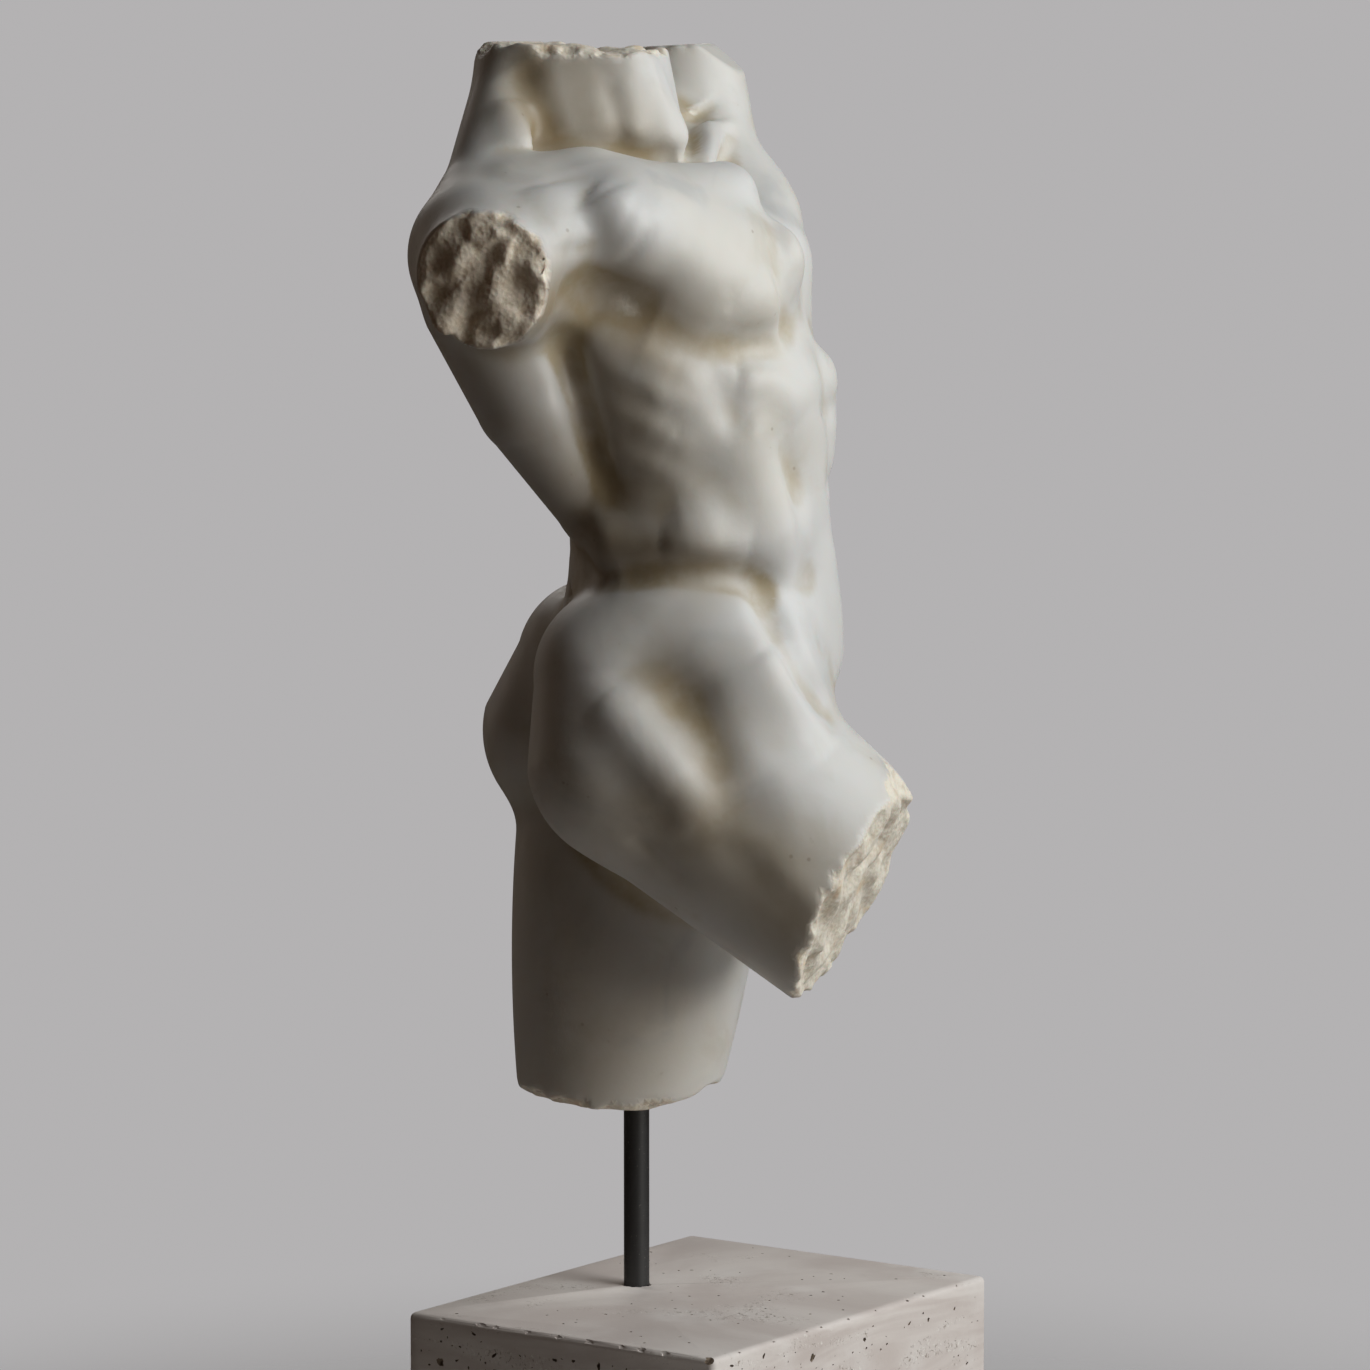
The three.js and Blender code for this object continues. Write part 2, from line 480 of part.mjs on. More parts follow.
// A closed mesh of four-sided faces, split in two, over the surface where the field is zero:
// one vertex in each grid cell that the surface crosses, one face round each crossed edge.
function surfaceNet(field, low, high, step) {
  const size = low.map((start, k) => Math.ceil((high[k] - start) / step) + 1);
  const index = (i, j, k) => (i * size[1] + j) * size[2] + k;
  const values = new Float64Array(size[0] * size[1] * size[2]);
  for (let i = 0; i < size[0]; i += 1) {
    for (let j = 0; j < size[1]; j += 1) {
      for (let k = 0; k < size[2]; k += 1) {
        values[index(i, j, k)] = field(low[0] + i * step, low[1] + j * step, low[2] + k * step);
      }
    }
  }
  unpinch(values, size, index);
  const vertexOf = new Map();
  const vertices = [];
  for (let i = 0; i + 1 < size[0]; i += 1) {
    for (let j = 0; j + 1 < size[1]; j += 1) {
      for (let k = 0; k + 1 < size[2]; k += 1) {
        const corner = CORNERS.map(([a, b, c]) => values[index(i + a, j + b, k + c)]);
        const sum = [0, 0, 0];
        let crossings = 0;
        for (const [from, to] of CELL_EDGES) {
          if (corner[from] < 0 === corner[to] < 0) continue;
          const t = corner[from] / (corner[from] - corner[to]);
          for (let axis = 0; axis < 3; axis += 1) {
            sum[axis] += CORNERS[from][axis] + t * (CORNERS[to][axis] - CORNERS[from][axis]);
          }
          crossings += 1;
        }
        if (crossings === 0) continue;
        const place = [i, j, k].map((cell, axis) => low[axis] + (cell + sum[axis] / crossings) * step);
        const settled = settle(field, place, 2);
        vertexOf.set(index(i, j, k), vertices.length);
        vertices.push([i, j, k].map((cell, axis) => THREE.MathUtils.clamp(
          settled[axis],
          low[axis] + (cell + CELL_RIM) * step,
          low[axis] + (cell + 1 - CELL_RIM) * step,
        )));
      }
    }
  }
  const rings = [];
  for (let i = 1; i + 1 < size[0]; i += 1) {
    for (let j = 1; j + 1 < size[1]; j += 1) {
      for (let k = 1; k + 1 < size[2]; k += 1) {
        const here = values[index(i, j, k)] < 0;
        for (let axis = 0; axis < 3; axis += 1) {
          const next = [i, j, k];
          next[axis] += 1;
          if (here === values[index(...next)] < 0) continue;
          const ring = [[1, 1], [0, 1], [0, 0], [1, 0]].map(([a, b]) => {
            const cell = [i, j, k];
            cell[(axis + 1) % 3] -= a;
            cell[(axis + 2) % 3] -= b;
            return vertexOf.get(index(...cell));
          });
          rings.push(here ? ring : ring.reverse());
        }
      }
    }
  }
  const geometry = new THREE.BufferGeometry();
  geometry.setAttribute('position', new THREE.Float32BufferAttribute(vertices.flat(), 3));
  geometry.setIndex(splitRings(rings, vertices));
  return geometry;
}

// The room in which the torso's surface is looked for, in parts.
const NET_LOW = [-24.4, -38.2, -4.2];
const NET_HIGH = [31.6, 21.8, 105.8];

const wasm = await Module();
wasm.setup();

// A closed geometry as a solid that can be joined and cut, and back.
function solid(geometry) {
  const bare = geometry.clone();
  bare.deleteAttribute('normal');
  bare.deleteAttribute('uv');
  const merged = mergeVertices(bare, 1e-4);
  return new wasm.Manifold(new wasm.Mesh({
    numProp: 3,
    vertProperties: merged.attributes.position.array,
    triVerts: new Uint32Array(merged.index.array),
  }));
}

function geometryOf(made) {
  const mesh = made.getMesh();
  const geometry = new THREE.BufferGeometry();
  geometry.setAttribute('position', new THREE.BufferAttribute(mesh.vertProperties, 3));
  geometry.setIndex(new THREE.BufferAttribute(mesh.triVerts, 1));
  return geometry;
}

// An upright cylinder between two heights.
function upright(radius, bottom, top) {
  return new THREE.CylinderGeometry(radius, radius, top - bottom, ROUND_SIDES)
    .rotateX(Math.PI / 2)
    .translate(0, 0, (bottom + top) / 2);
}

const boreRadius = ROD_DIAMETER / 2 + BORE_CLEARANCE;

// The torso in its own frame, in millimetres, with the rod's bore up into the standing leg.
function torsoGeometry() {
  const net = surfaceNet(body, NET_LOW, NET_HIGH, NET_STEP);
  net.scale(PART, PART, PART);
  const bore = upright(boreRadius, -10 * PART, ROD_IN_TORSO + BORE_CLEARANCE);
  return geometryOf(solid(net).subtract(solid(bore)));
}

// A rectangle with rounded corners, all its edges rounded, pierced for the rod and chipped
// at one upper corner.
function plinthGeometry() {
  const halfWidth = PLINTH_WIDTH / 2 - PLINTH_EDGE;
  const halfLength = PLINTH_LENGTH / 2 - PLINTH_EDGE;
  const outline = new THREE.Shape();
  outline.moveTo(-halfWidth, -halfLength);
  outline.lineTo(halfWidth, -halfLength);
  outline.lineTo(halfWidth, halfLength);
  outline.lineTo(-halfWidth, halfLength);
  outline.closePath();
  const block = new THREE.ExtrudeGeometry(outline, {
    depth: PLINTH_HEIGHT - 2 * PLINTH_EDGE,
    bevelEnabled: true,
    bevelThickness: PLINTH_EDGE,
    bevelSize: PLINTH_EDGE,
    bevelSegments: 2,
  }).translate(0, 0, PLINTH_EDGE);
  const bore = upright(boreRadius, PLINTH_HEIGHT - ROD_IN_PLINTH - BORE_CLEARANCE, PLINTH_HEIGHT + 10)
    .translate(-ROD_FROM_MIDDLE, 0, 0);
  const corner = new THREE.Vector3(PLINTH_WIDTH / 2, -PLINTH_LENGTH / 2, PLINTH_HEIGHT);
  const outward = new THREE.Vector3(1, -1, 1).normalize();
  const chipSize = 4 * PLINTH_CHIP;
  const chip = new THREE.BoxGeometry(chipSize, chipSize, chipSize)
    .translate(0, 0, chipSize / 2 - PLINTH_CHIP / Math.sqrt(3))
    .applyQuaternion(new THREE.Quaternion().setFromUnitVectors(new THREE.Vector3(0, 0, 1), outward))
    .translate(corner.x, corner.y, corner.z);
  return geometryOf(solid(block).subtract(solid(bore)).subtract(solid(chip)));
}

function rodGeometry() {
  const rodRadius = ROD_DIAMETER / 2;
  return upright(rodRadius, -ROD_IN_PLINTH, ROD_SHOWN + ROD_IN_TORSO);
}

function piece(name, geometry, color, roughness, metalness) {
  geometry.computeVertexNormals();
  const mesh = new THREE.Mesh(geometry, new THREE.MeshStandardMaterial({ color, roughness, metalness }));
  mesh.name = name;
  return mesh;
}

const plinth = piece('travertine_plinth', plinthGeometry(), 0xb9b1a4, 0.7, 0);

const rod = piece('steel_rod', rodGeometry(), 0x1c1c1d, 0.45, 0.6);
rod.position.set(-ROD_FROM_MIDDLE, 0, PLINTH_HEIGHT);

const torso = piece('marble_torso', torsoGeometry(), 0xcfc6b6, 0.45, 0);
torso.position.set(-ROD_FROM_MIDDLE, 0, PLINTH_HEIGHT + ROD_SHOWN);
torso.rotation.z = THREE.MathUtils.degToRad(TORSO_TURN);

const sculpture = new THREE.Group();
sculpture.add(plinth, rod, torso);

export default sculpture;
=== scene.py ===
# %% [markdown]
# A broken marble torso, seen as a maker would build it
#
# The object is an antique kind of statue: a male torso in white marble that has lost its head,
# both arms and the forward leg. A black steel rod holds it over a block of travertine. The
# solid parts, at their real sizes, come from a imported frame, and this lesson gives them their
# looks: carving, broken faces, worn edges, pores and stone.
#
# Everything is in metres, +Z up, with the origin in the middle of the block's underside.

# %% Load the frame
import math

import bmesh
import bpy
import numpy as np
from mathutils import Matrix, Vector, noise


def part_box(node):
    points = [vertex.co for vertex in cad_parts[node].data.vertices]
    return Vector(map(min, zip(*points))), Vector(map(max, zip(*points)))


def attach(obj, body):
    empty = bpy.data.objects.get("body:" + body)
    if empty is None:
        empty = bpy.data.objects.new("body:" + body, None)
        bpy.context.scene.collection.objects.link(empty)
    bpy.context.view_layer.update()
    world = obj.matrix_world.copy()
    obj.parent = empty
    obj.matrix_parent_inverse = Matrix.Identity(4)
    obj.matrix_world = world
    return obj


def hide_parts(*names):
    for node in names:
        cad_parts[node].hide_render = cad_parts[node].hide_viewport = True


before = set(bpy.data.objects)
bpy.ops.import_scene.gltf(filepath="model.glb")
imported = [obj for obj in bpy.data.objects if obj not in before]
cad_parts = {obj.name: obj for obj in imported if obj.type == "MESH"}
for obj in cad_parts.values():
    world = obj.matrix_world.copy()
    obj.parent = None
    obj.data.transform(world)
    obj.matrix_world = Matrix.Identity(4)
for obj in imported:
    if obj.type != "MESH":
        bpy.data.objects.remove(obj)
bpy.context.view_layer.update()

# %% [markdown]
# Measuring from the frame
#
# The rod and the block are read from the frame, so that everything made here sits on them. The
# torso is described in hundredths of its height, called parts, as a sculptor measures a figure
# with callipers. Its own frame has X to the right, Y away from the viewer and Z up, and starts
# where the rod's axis meets the torso's underside. It is turned on the block.

# %% Sizes
MM = 0.001
TORSO_HEIGHT = 0.655
PART = TORSO_HEIGHT / 100
TORSO_TURN = math.radians(35.5)
ROD_SHOWN = 0.120
ROD_IN_TORSO = 0.120
ROD_IN_PLINTH = 0.060
BORE_CLEARANCE = 0.45 * MM

plinth_low, plinth_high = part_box("travertine_plinth")
rod_low, rod_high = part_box("steel_rod")
rod_radius = (rod_high.x - rod_low.x) / 2
rod_x = (rod_high.x + rod_low.x) / 2
underside = plinth_high.z + ROD_SHOWN
TORSO_FRAME = Matrix.Translation((rod_x, 0, underside)) @ Matrix.Rotation(TORSO_TURN, 4, "Z")
print("rod radius", round(rod_radius, 4), "underside of the torso at", round(underside, 4))

# %% [markdown]
# Small helpers
#
# A finished piece is one object at the origin, with its place in its mesh. These helpers turn a
# bmesh into such an object, open it again, apply a modifier for good, and read and write all
# the corner points of a mesh at once, which is how carving by formula stays fast.

# %% Helpers for meshes
X, Y, Z = Vector((1, 0, 0)), Vector((0, 1, 0)), Vector((0, 0, 1))


def linked(name, data):
    item = bpy.data.objects.new(name, data)
    bpy.context.scene.collection.objects.link(item)
    return item


def put_back(bm, mesh):
    bm.to_mesh(mesh)
    bm.free()


def piece_from(bm, name):
    mesh = bpy.data.meshes.new(name)
    put_back(bm, mesh)
    return linked(name, mesh)


def opened(mesh):
    bm = bmesh.new()
    bm.from_mesh(mesh)
    bm.verts.ensure_lookup_table()
    return bm


def even_out(bm, verts):
    bmesh.ops.smooth_vert(bm, verts=verts, factor=0.5, use_axis_x=True, use_axis_y=True, use_axis_z=True)


def triangles_in(piece):
    return sum(len(polygon.vertices) - 2 for polygon in piece.data.polygons)


def apply_modifier(piece, kind, **settings):
    modifier = piece.modifiers.new(kind.title(), kind)
    for name, value in settings.items():
        setattr(modifier, name, value)
    bpy.context.view_layer.update()
    evaluated = piece.evaluated_get(bpy.context.evaluated_depsgraph_get())
    mesh = bpy.data.meshes.new_from_object(evaluated)
    piece.modifiers.clear()
    before = piece.data
    piece.data = mesh
    bpy.data.meshes.remove(before)


def points_of(mesh):
    points = np.empty(3 * len(mesh.vertices))
    mesh.vertices.foreach_get("co", points)
    return points.reshape(-1, 3)


def put_points(mesh, points):
    mesh.vertices.foreach_set("co", np.ascontiguousarray(points, np.float32).ravel())
    mesh.update()


def changed(points, matrix):
    """Points moved by a matrix."""
    m = np.array(matrix)
    return points @ m[:3, :3].T + m[:3, 3]


# %% [markdown]
# The camera
#
# The photograph was taken from nearly four metres with a long lens, a little above the torso's
# neck and looking down by six degrees. The horizon is near the top of the picture, so the top
# of the block shows as a flat lozenge. A long lens keeps the sides of the block nearly
# parallel.

# %% Camera
IMAGE_WIDTH = 1370
FOCAL_PIXELS = 6000
HORIZON_ABOVE_MIDDLE = 635
EYE = Vector((0.0304, -3.712, 0.6517))

lens = bpy.data.cameras.new("camera")
lens.sensor_width = 36
lens.lens = FOCAL_PIXELS / IMAGE_WIDTH * lens.sensor_width
lens.clip_end = 50
camera = linked("camera", lens)
camera.location = TORSO_FRAME @ EYE
camera.rotation_euler = (math.pi / 2 - math.atan(HORIZON_ABOVE_MIDDLE / FOCAL_PIXELS), 0, TORSO_TURN)
bpy.context.scene.camera = camera
print("camera at", tuple(round(c, 3) for c in camera.location), "lens", round(lens.lens, 1))

# %% [markdown]
# The torso as a formula
#
# A sculptor roughs out a trunk, adds the masses of muscle and limb to it in the mind, and only
# then draws the folds. The same order works as a formula that gives, for any point, about how
# far it lies outside the body. A formula is finer than any grid: the blank below can be cut
# exactly to it, however dense its mesh is.
#
# Two distances join with a soft fillet, which is what melt does, and cut_off keeps only what
# lies in both.

# %% Joining and cutting by distance
def melt(a, b, k):
    h = np.clip(0.5 + 0.5 * (b - a) / k, 0, 1)
    return b + (a - b) * h - k * h * (1 - h)


def cut_off(a, b, k):
    return -melt(-a, -b, k)


# %% [markdown]
# The trunk
#
# Level sections from the hips to the neck: height, middle in X and Y, half depth, half width,
# and the turn of the front in degrees. The hips turn away from the viewer and the chest
# towards them, which is the twist that gives the figure its life. Between the rows a smooth
# curve runs through every number.

# %% Trunk
TRUNK = np.array([
    (24, 4.5, -7, 7, 10, 13),
    (30, 4.5, -7, 10, 13, 13),
    (34, 4.6, -7.2, 11.8, 14.8, 13),
    (40, 5, -7.5, 13.3, 16, 13),
    (46, 5.8, -7.5, 12.9, 15.8, 9),
    (52, 6, -7.7, 12.2, 14.4, 4),
    (56, 5.8, -8, 11.7, 14, -2),
    (60, 5.6, -8, 12.2, 14.6, -8),
    (66, 4.8, -8, 13.4, 16.3, -14),
    (70, 4, -8, 13.8, 17.2, -17),
    (74, 2.9, -8, 13.6, 17.8, -19),
    (80, 0.8, -8, 13, 18, -19),
    (85, -1.5, -8, 11.6, 16.6, -19),
    (89, -3.2, -8, 9.5, 13.5, -19),
    (94, -4.5, -8, 7, 10, -19),
])
TRUNK_SLOPES = np.gradient(TRUNK, TRUNK[:, 0], axis=0)
END_TRIM = 3
TRUNK_TOP = TRUNK[-1, 0] - END_TRIM
TRUNK_BOTTOM = TRUNK[0, 0] + END_TRIM
TOP_FILLET, BOTTOM_FILLET = 6, 5


def section_at(height):
    rows = TRUNK[:, 0]
    z = np.clip(height, rows[0], rows[-1])
    i = np.clip(np.searchsorted(rows, z) - 1, 0, len(rows) - 2)
    step = (rows[i + 1] - rows[i])[:, None]
    t = (z - rows[i])[:, None] / step
    s = 1 - t
    lower = TRUNK[i] * (1 + 2 * t) * s**2 + TRUNK_SLOPES[i] * step * t * s**2
    upper = TRUNK[i + 1] * t**2 * (3 - 2 * t) - TRUNK_SLOPES[i + 1] * step * t**2 * s
    return (lower + upper).T


def trunk_distance(points):
    x, y, z = points.T
    _, middle_x, middle_y, depth, width, turn = section_at(z)
    c, s = np.cos(np.radians(turn)), np.sin(np.radians(turn))
    front = (x - middle_x) * c + (y - middle_y) * s
    side = (x - middle_x) * s - (y - middle_y) * c
    near = np.hypot(front / depth, side / width) + 1e-6
    slope = np.hypot(front / depth**2, side / width**2) + 1e-6
    below_top = cut_off(near * (near - 1) / slope, z - TRUNK_TOP, TOP_FILLET)
    return cut_off(below_top, TRUNK_BOTTOM - z, BOTTOM_FILLET)


print("trunk", len(TRUNK), "sections, rounded off at", TRUNK_BOTTOM, "and", TRUNK_TOP)

# %% [markdown]
# Limbs and muscles
#
# Each mass is a round body that tapers along a line. It melts into what is there already, and
# one that is hollow is pressed in instead of laid on. The right arm and the right thigh end
# where the marble broke.

# %% Masses
def mass(name, line, r, melt, belly=0, hollow=False):
    return dict(name=name, line=np.array(line, float), r=r, melt=melt, belly=belly, hollow=hollow)


MASSES = [
    mass("standing thigh", [(1.5, 1.5, 34), (-2.3, 0.5, -4)], [12, 8.8], 4, belly=1.2),
    mass("raised thigh", [(6, -16, 33.5), (28.5, -21.4, 15.5)], [12.4, 10.4], 4),
    mass("left buttock", [(-3.2, 1, 41.6), (-4.8, 2, 35)], [8.2, 9.9], 2),
    mass("right buttock", [(-0.8, -16, 42), (0, -17.5, 34.5)], [8.6, 10], 1.6),
    mass("hip", [(3.5, -18, 47), (10, -20, 42)], [5.5, 6.5], 4),
    mass("hollow behind the hip", [(6.4, -34, 37), (8.4, -34.2, 31.5), (9.4, -33.8, 28)], [3, 4.2, 2.8],
         4.5, hollow=True),
    mass("right flank", [(-1, -17.5, 55.5), (6, -19.5, 55.8), (12, -16.5, 54.8)], [3.2, 3.6, 3.4], 3),
    mass("left flank", [(-1, 3, 55), (6, 3.5, 55.5), (13, 1, 54)], [3.2, 3.4, 3.2], 3),
    mass("oblique", [(9.5, -19, 64), (11.8, -17.6, 56)], [3, 3.6], 3),
    mass("belly, right", [(13.4, -14.4, 68), (14.7, -11.6, 56), (16, -8.6, 44)], [3, 3, 2.8], 3),
    mass("belly, left", [(15, -8, 68), (14.5, -5.4, 56), (14.9, -2.2, 44)], [3, 3, 2.8], 3),
    mass("right side of the back", [(-12.5, -18, 77), (-8.8, -17.5, 68), (-3.5, -14, 58)], [7, 6, 4], 2.2),
    mass("left side of the back", [(-1, 5, 82), (-2.6, -2, 57)], [7, 3.5], 4),
    mass("right shoulder blade", [(-10, -12, 82), (-8, -9, 74)], [7.5, 6], 4),
    mass("left shoulder blade", [(-4, 4, 84), (-7, 1, 74)], [7, 5.5], 4),
    mass("right shoulder", [(-5, -20, 83.5), (-13, -23, 81)], [7, 7.5], 2.6),
    mass("right arm", [(-8, -20, 81), (-16.3, -37, 78)], [6.8, 6], 2.6),
    mass("right breast, upper", [(-2, -22.5, 84), (8, -13, 86)], [4.8, 3.4], 3),
    mass("right breast", [(0, -22.6, 83.6), (11.5, -14, 80)], [4.3, 4.2], 3),
    mass("right breast, lower", [(4.5, -20.4, 80), (9.4, -17.8, 76.6)], [3.8, 4.5], 2.4),
    mass("left breast", [(11.5, -5, 80), (10, 4, 84)], [5, 5], 3),
    mass("left shoulder", [(4.8, 7, 92.5), (10.2, 1.5, 84)], [5.3, 4.3], 3),
    mass("left arm", [(4.8, 9, 86), (4.6, 10, 106)], [6.6, 5], 3),
    mass("neck", [(-3, -8, 84), (-6.3, -8, 105)], [9, 8.2], 2.5),
    mass("right slope of the neck", [(-9.5, -10, 97), (-13.5, -19, 86.5)], [5.2, 4], 3),
    mass("left slope of the neck", [(-8, -5, 96), (0, 5, 90)], [5, 5], 3),
    mass("left shoulder to throat", [(1.5, -4, 88.3), (4, 4, 90)], [3.6, 3.6], 3),
    mass("neck cord", [(-3.5, -14.5, 103), (3.6, -11.4, 90.5)], [2.6, 2], 1.6),
    mass("right collarbone", [(4.8, -11, 87.1), (-4, -20, 88.4), (-11, -23, 87)], [1.6, 1.8, 1.8], 2),
    mass("left collarbone", [(6, -8, 89), (7, 2, 92.5)], [1.4, 1.6], 1.5),
    mass("hollow behind the collarbone", [(-9, -18.4, 90.4), (-3, -17.5, 90.2), (3.3, -13.9, 89.1)],
         [1.3, 1.7, 1.3], 1.7, hollow=True),
]


def nearest_on(points, a, b):
    """Squared distance to the line from a to b, and the share of the way along it."""
    ab = b - a
    t = np.clip((points - a) @ ab / (ab @ ab), 0, 1)
    apart = points - a - t[:, None] * ab
    return np.einsum("ij,ij->i", apart, apart), t


def mass_distance(form, points):
    nearest = np.full(len(points), np.inf)
    ends = zip(form["line"][:-1], form["line"][1:], form["r"][:-1], form["r"][1:])
    for a, b, r_a, r_b in ends:
        squared, t = nearest_on(points, a, b)
        radius = r_a + (r_b - r_a) * t + form["belly"] * 4 * t * (1 - t)
        nearest = np.minimum(nearest, np.sqrt(squared) - radius)
    return nearest


def rough_body(points):
    d = trunk_distance(points)
    for form in MASSES:
        g = mass_distance(form, points)
        d = cut_off(d, -g, form["melt"]) if form["hollow"] else melt(d, g, form["melt"])
    return d


print(len(MASSES), "masses")

# %% [markdown]
# Folds, swells and furrows
#
# A stroke is drawn on the body as it is seen from one side: places across and up in that view,
# which are then laid on the surface along a smooth curve. It sinks the surface, or raises it
# where its depth is below zero, in a soft groove that fades towards both ends. Soft grooves
# are what a rasp and pumice leave on marble. A crease cut with a chisel would be sharp.

# %% Strokes
def stroke(name, side, places, deep, wide):
    return dict(name=name, side=side, places=np.array(places, float), deep=deep, wide=wide)


STROKES = [
    stroke("shoulder groove", 0, [(-4.4, 89.2), (-3.5, 87.4), (-2.9, 85.4)], 0.25, 2.2),
    stroke("shoulder to breast", 0, [(-2.6, 86.6), (-1.2, 84.6), (0.6, 82.4)], -0.9, 2.2),
    stroke("swell of the right shoulder", 0, [(-8, 87.4), (-6.6, 84.6), (-5.6, 81.8)], -0.9, 2.4),
    stroke("fold under the right breast", 0, [(-6.5, 78.5), (-3, 77.8), (0.6, 76), (4, 73.7), (7.4, 72.3),
           (10.7, 72.4), (13.5, 73.9)], 1.4, 2),
    stroke("hollow under the arm", 0, [(-6.4, 77.4), (-2.6, 76.4), (1.6, 74.6)], 1.5, 2.5),
    stroke("swell of the right breast", 0, [(0.6, 83), (5.1, 80.5), (9.4, 77)], -0.8, 3.6),
    stroke("breastbone", 0, [(12.4, 84.4), (13.4, 81.3), (14, 77.7), (14.3, 73.5)], 0.9, 1.6),
    stroke("hollow of the neck", 0, [(-10.8, 98), (-9.5, 95), (-7.8, 91.5)], 1.5, 1.7),
    stroke("ridge of the neck", 0, [(-11.1, 95.3), (-10.4, 90.6)], -0.8, 2),
    stroke("groove beside the neck cord", 0, [(-2.6, 96.4), (-1.6, 94), (-1.1, 90.5)], 0.7, 1),
    stroke("pit of the throat", 0, [(5.1, 92.2), (5.5, 89.6)], 1.6, 1.3),
    stroke("hollow of the left shoulder", 0, [(5.7, 94.4), (7.6, 93.3)], 1.2, 2),
    stroke("crease in front of the back", 0, [(-6.9, 75.3), (-6, 71.6), (-5.1, 67.7), (-4, 64.2),
           (-3.1, 60.6)], 1.3, 1.4),
    stroke("edge of the ribs, right", 0, [(9.8, 70.5), (12.6, 69.2), (15.2, 65.8)], -0.8, 2),
    stroke("ribs to belly", 0, [(6.7, 71.1), (8.5, 67.6), (9.8, 64.3)], 0.5, 1.6),
    stroke("side of the belly, right", 0, [(13.3, 64), (14.5, 61), (15.5, 57.5), (15.8, 53.8),
           (16.7, 49.2)], 0.75, 1.6),
    stroke("furrow over the right hip", 0, [(-1.5, 51.4), (2.4, 52), (6.4, 52.1), (10, 51.5), (12, 49.6),
           (13.8, 46.1), (15.6, 42.5), (17.5, 39.3)], 1.5, 1.7),
    stroke("roll of the right flank", 0, [(2.4, 54.7), (6.4, 54.5), (10.4, 53.7)], -0.6, 2.2),
    stroke("swell of the right buttock", 0, [(-2.7, 41.2), (0.6, 37.6), (4.5, 33.3), (6.7, 29.7)], -1.3,
           2.6),
    stroke("dip of the right hip", 0, [(4.2, 42.5), (6, 38.4), (7.6, 33.2)], 0.6, 2.8),
    stroke("swell of the right thigh", 0, [(11.8, 45.4), (14.2, 41.8), (17.8, 36)], -0.7, 3.2),
    stroke("middle of the belly", 90, [(-11.9, 72), (-11, 66), (-9.6, 60), (-7.4, 54)], 0.5, 1.3),
    stroke("navel", 90, [(-7.1, 53), (-6.9, 52)], 1.3, 0.9),
    stroke("edge of the ribs, left", 90, [(-8.6, 71.4), (-4.6, 68.8), (-0.6, 64.2)], -0.25, 1.8),
    stroke("fold under the left breast", 90, [(-10.4, 74.4), (-5, 72.8), (0.6, 74.2), (5, 79)], 0.8, 1.8),
    stroke("side of the belly, left", 80, [(-1.2, 65), (0, 58), (1, 51), (0.6, 44.6)], 0.9, 1.6),
    stroke("furrow over the left hip", 110, [(-6.4, 35), (-2.4, 39.5), (2.2, 45.2), (4.6, 49.8)], 1.4, 1.6),
    stroke("broken stump at the groin", 85, [(-2.6, 37.6), (-2.4, 34.4)], -1.8, 2.2),
    stroke("outer side of the left thigh", 165, [(-2.6, 30), (-3.4, 18), (-3.2, 6)], 0.5, 2.6),
    stroke("spine", 255, [(8, 86), (7, 78), (6.4, 70), (6, 61), (6.6, 52)], 1.1, 2.6),
]

# %% [markdown]
# What repeats
#
# Three fingers of muscle lie on the ribs of each side, two bands cross the belly, and the back
# has the same column, shoulder blade and dimple on both sides of the spine. Loops place them.

# %% Ribs, belly bands and the back
RIB_PITCH = 3.7
for i in range(3):
    drop = RIB_PITCH * i
    STROKES += [
        stroke("right rib", 0, [(0.9 - 0.35 * i, 72.6 - drop), (3.9 - 0.35 * i, 70.9 - drop)], -0.35, 1.4),
        stroke("gap under a right rib", 0, [(2.8 - 0.4 * i, 70.6 - 1.1 * drop),
            (5.6 - 0.3 * i, 68.3 - 1.1 * drop)], 0.35, 1.4),
        stroke("left rib", 130, [(-8, 71.6 - drop), (-4.6, 73.4 - drop), (-1, 75.8 - drop)], -0.35, 1.9),
    ]

for middle, height in [(-11, 66.6), (-9.2, 59.4)]:
    places = [(middle - 4.2, height + 0.4), (middle, height - 0.2), (middle + 4.2, height + 0.4)]
    STROKES.append(stroke("band across the belly", 90, places, 0.4, 1.2))


def beside_spine(side, out, height):
    return 6.6 + (height - 52) * 0.035 + side * out, height


for side in (1, -1):
    column = [beside_spine(side, out, z) for out, z in [(4, 82), (4, 72), (3.8, 61), (3.6, 53)]]
    blade = [beside_spine(side, out, z) for out, z in [(6, 84), (6.8, 77), (10, 73)]]
    STROKES += [
        stroke("column of the back", 255, column, -0.6, 2.2),
        stroke("edge of the shoulder blade", 255, blade, 0.9, 1.8),
        stroke("dimple over the hip", 250, [(8 + side * 4.4, 49.5), (8 + side * 4, 48.5)], 0.8, 1.6),
    ]
print(len(STROKES), "strokes")

# %% [markdown]
# Fine anatomy
#
# What only shows close by is carved here and not in the solids: the nipples, the thin cords of
# the neck, and the knocks and pits that the surface has taken. Polish has softened the ribs and
# the hollows of the neck, so those strokes lose part of their depth first.

# %% Fine strokes
SOFTENED = {"hollow of the neck": -0.4, "groove beside the neck cord": -0.45,
            "right rib": 0.25, "gap under a right rib": -0.25}
for s in STROKES:
    s["deep"] += SOFTENED.get(s["name"], 0)

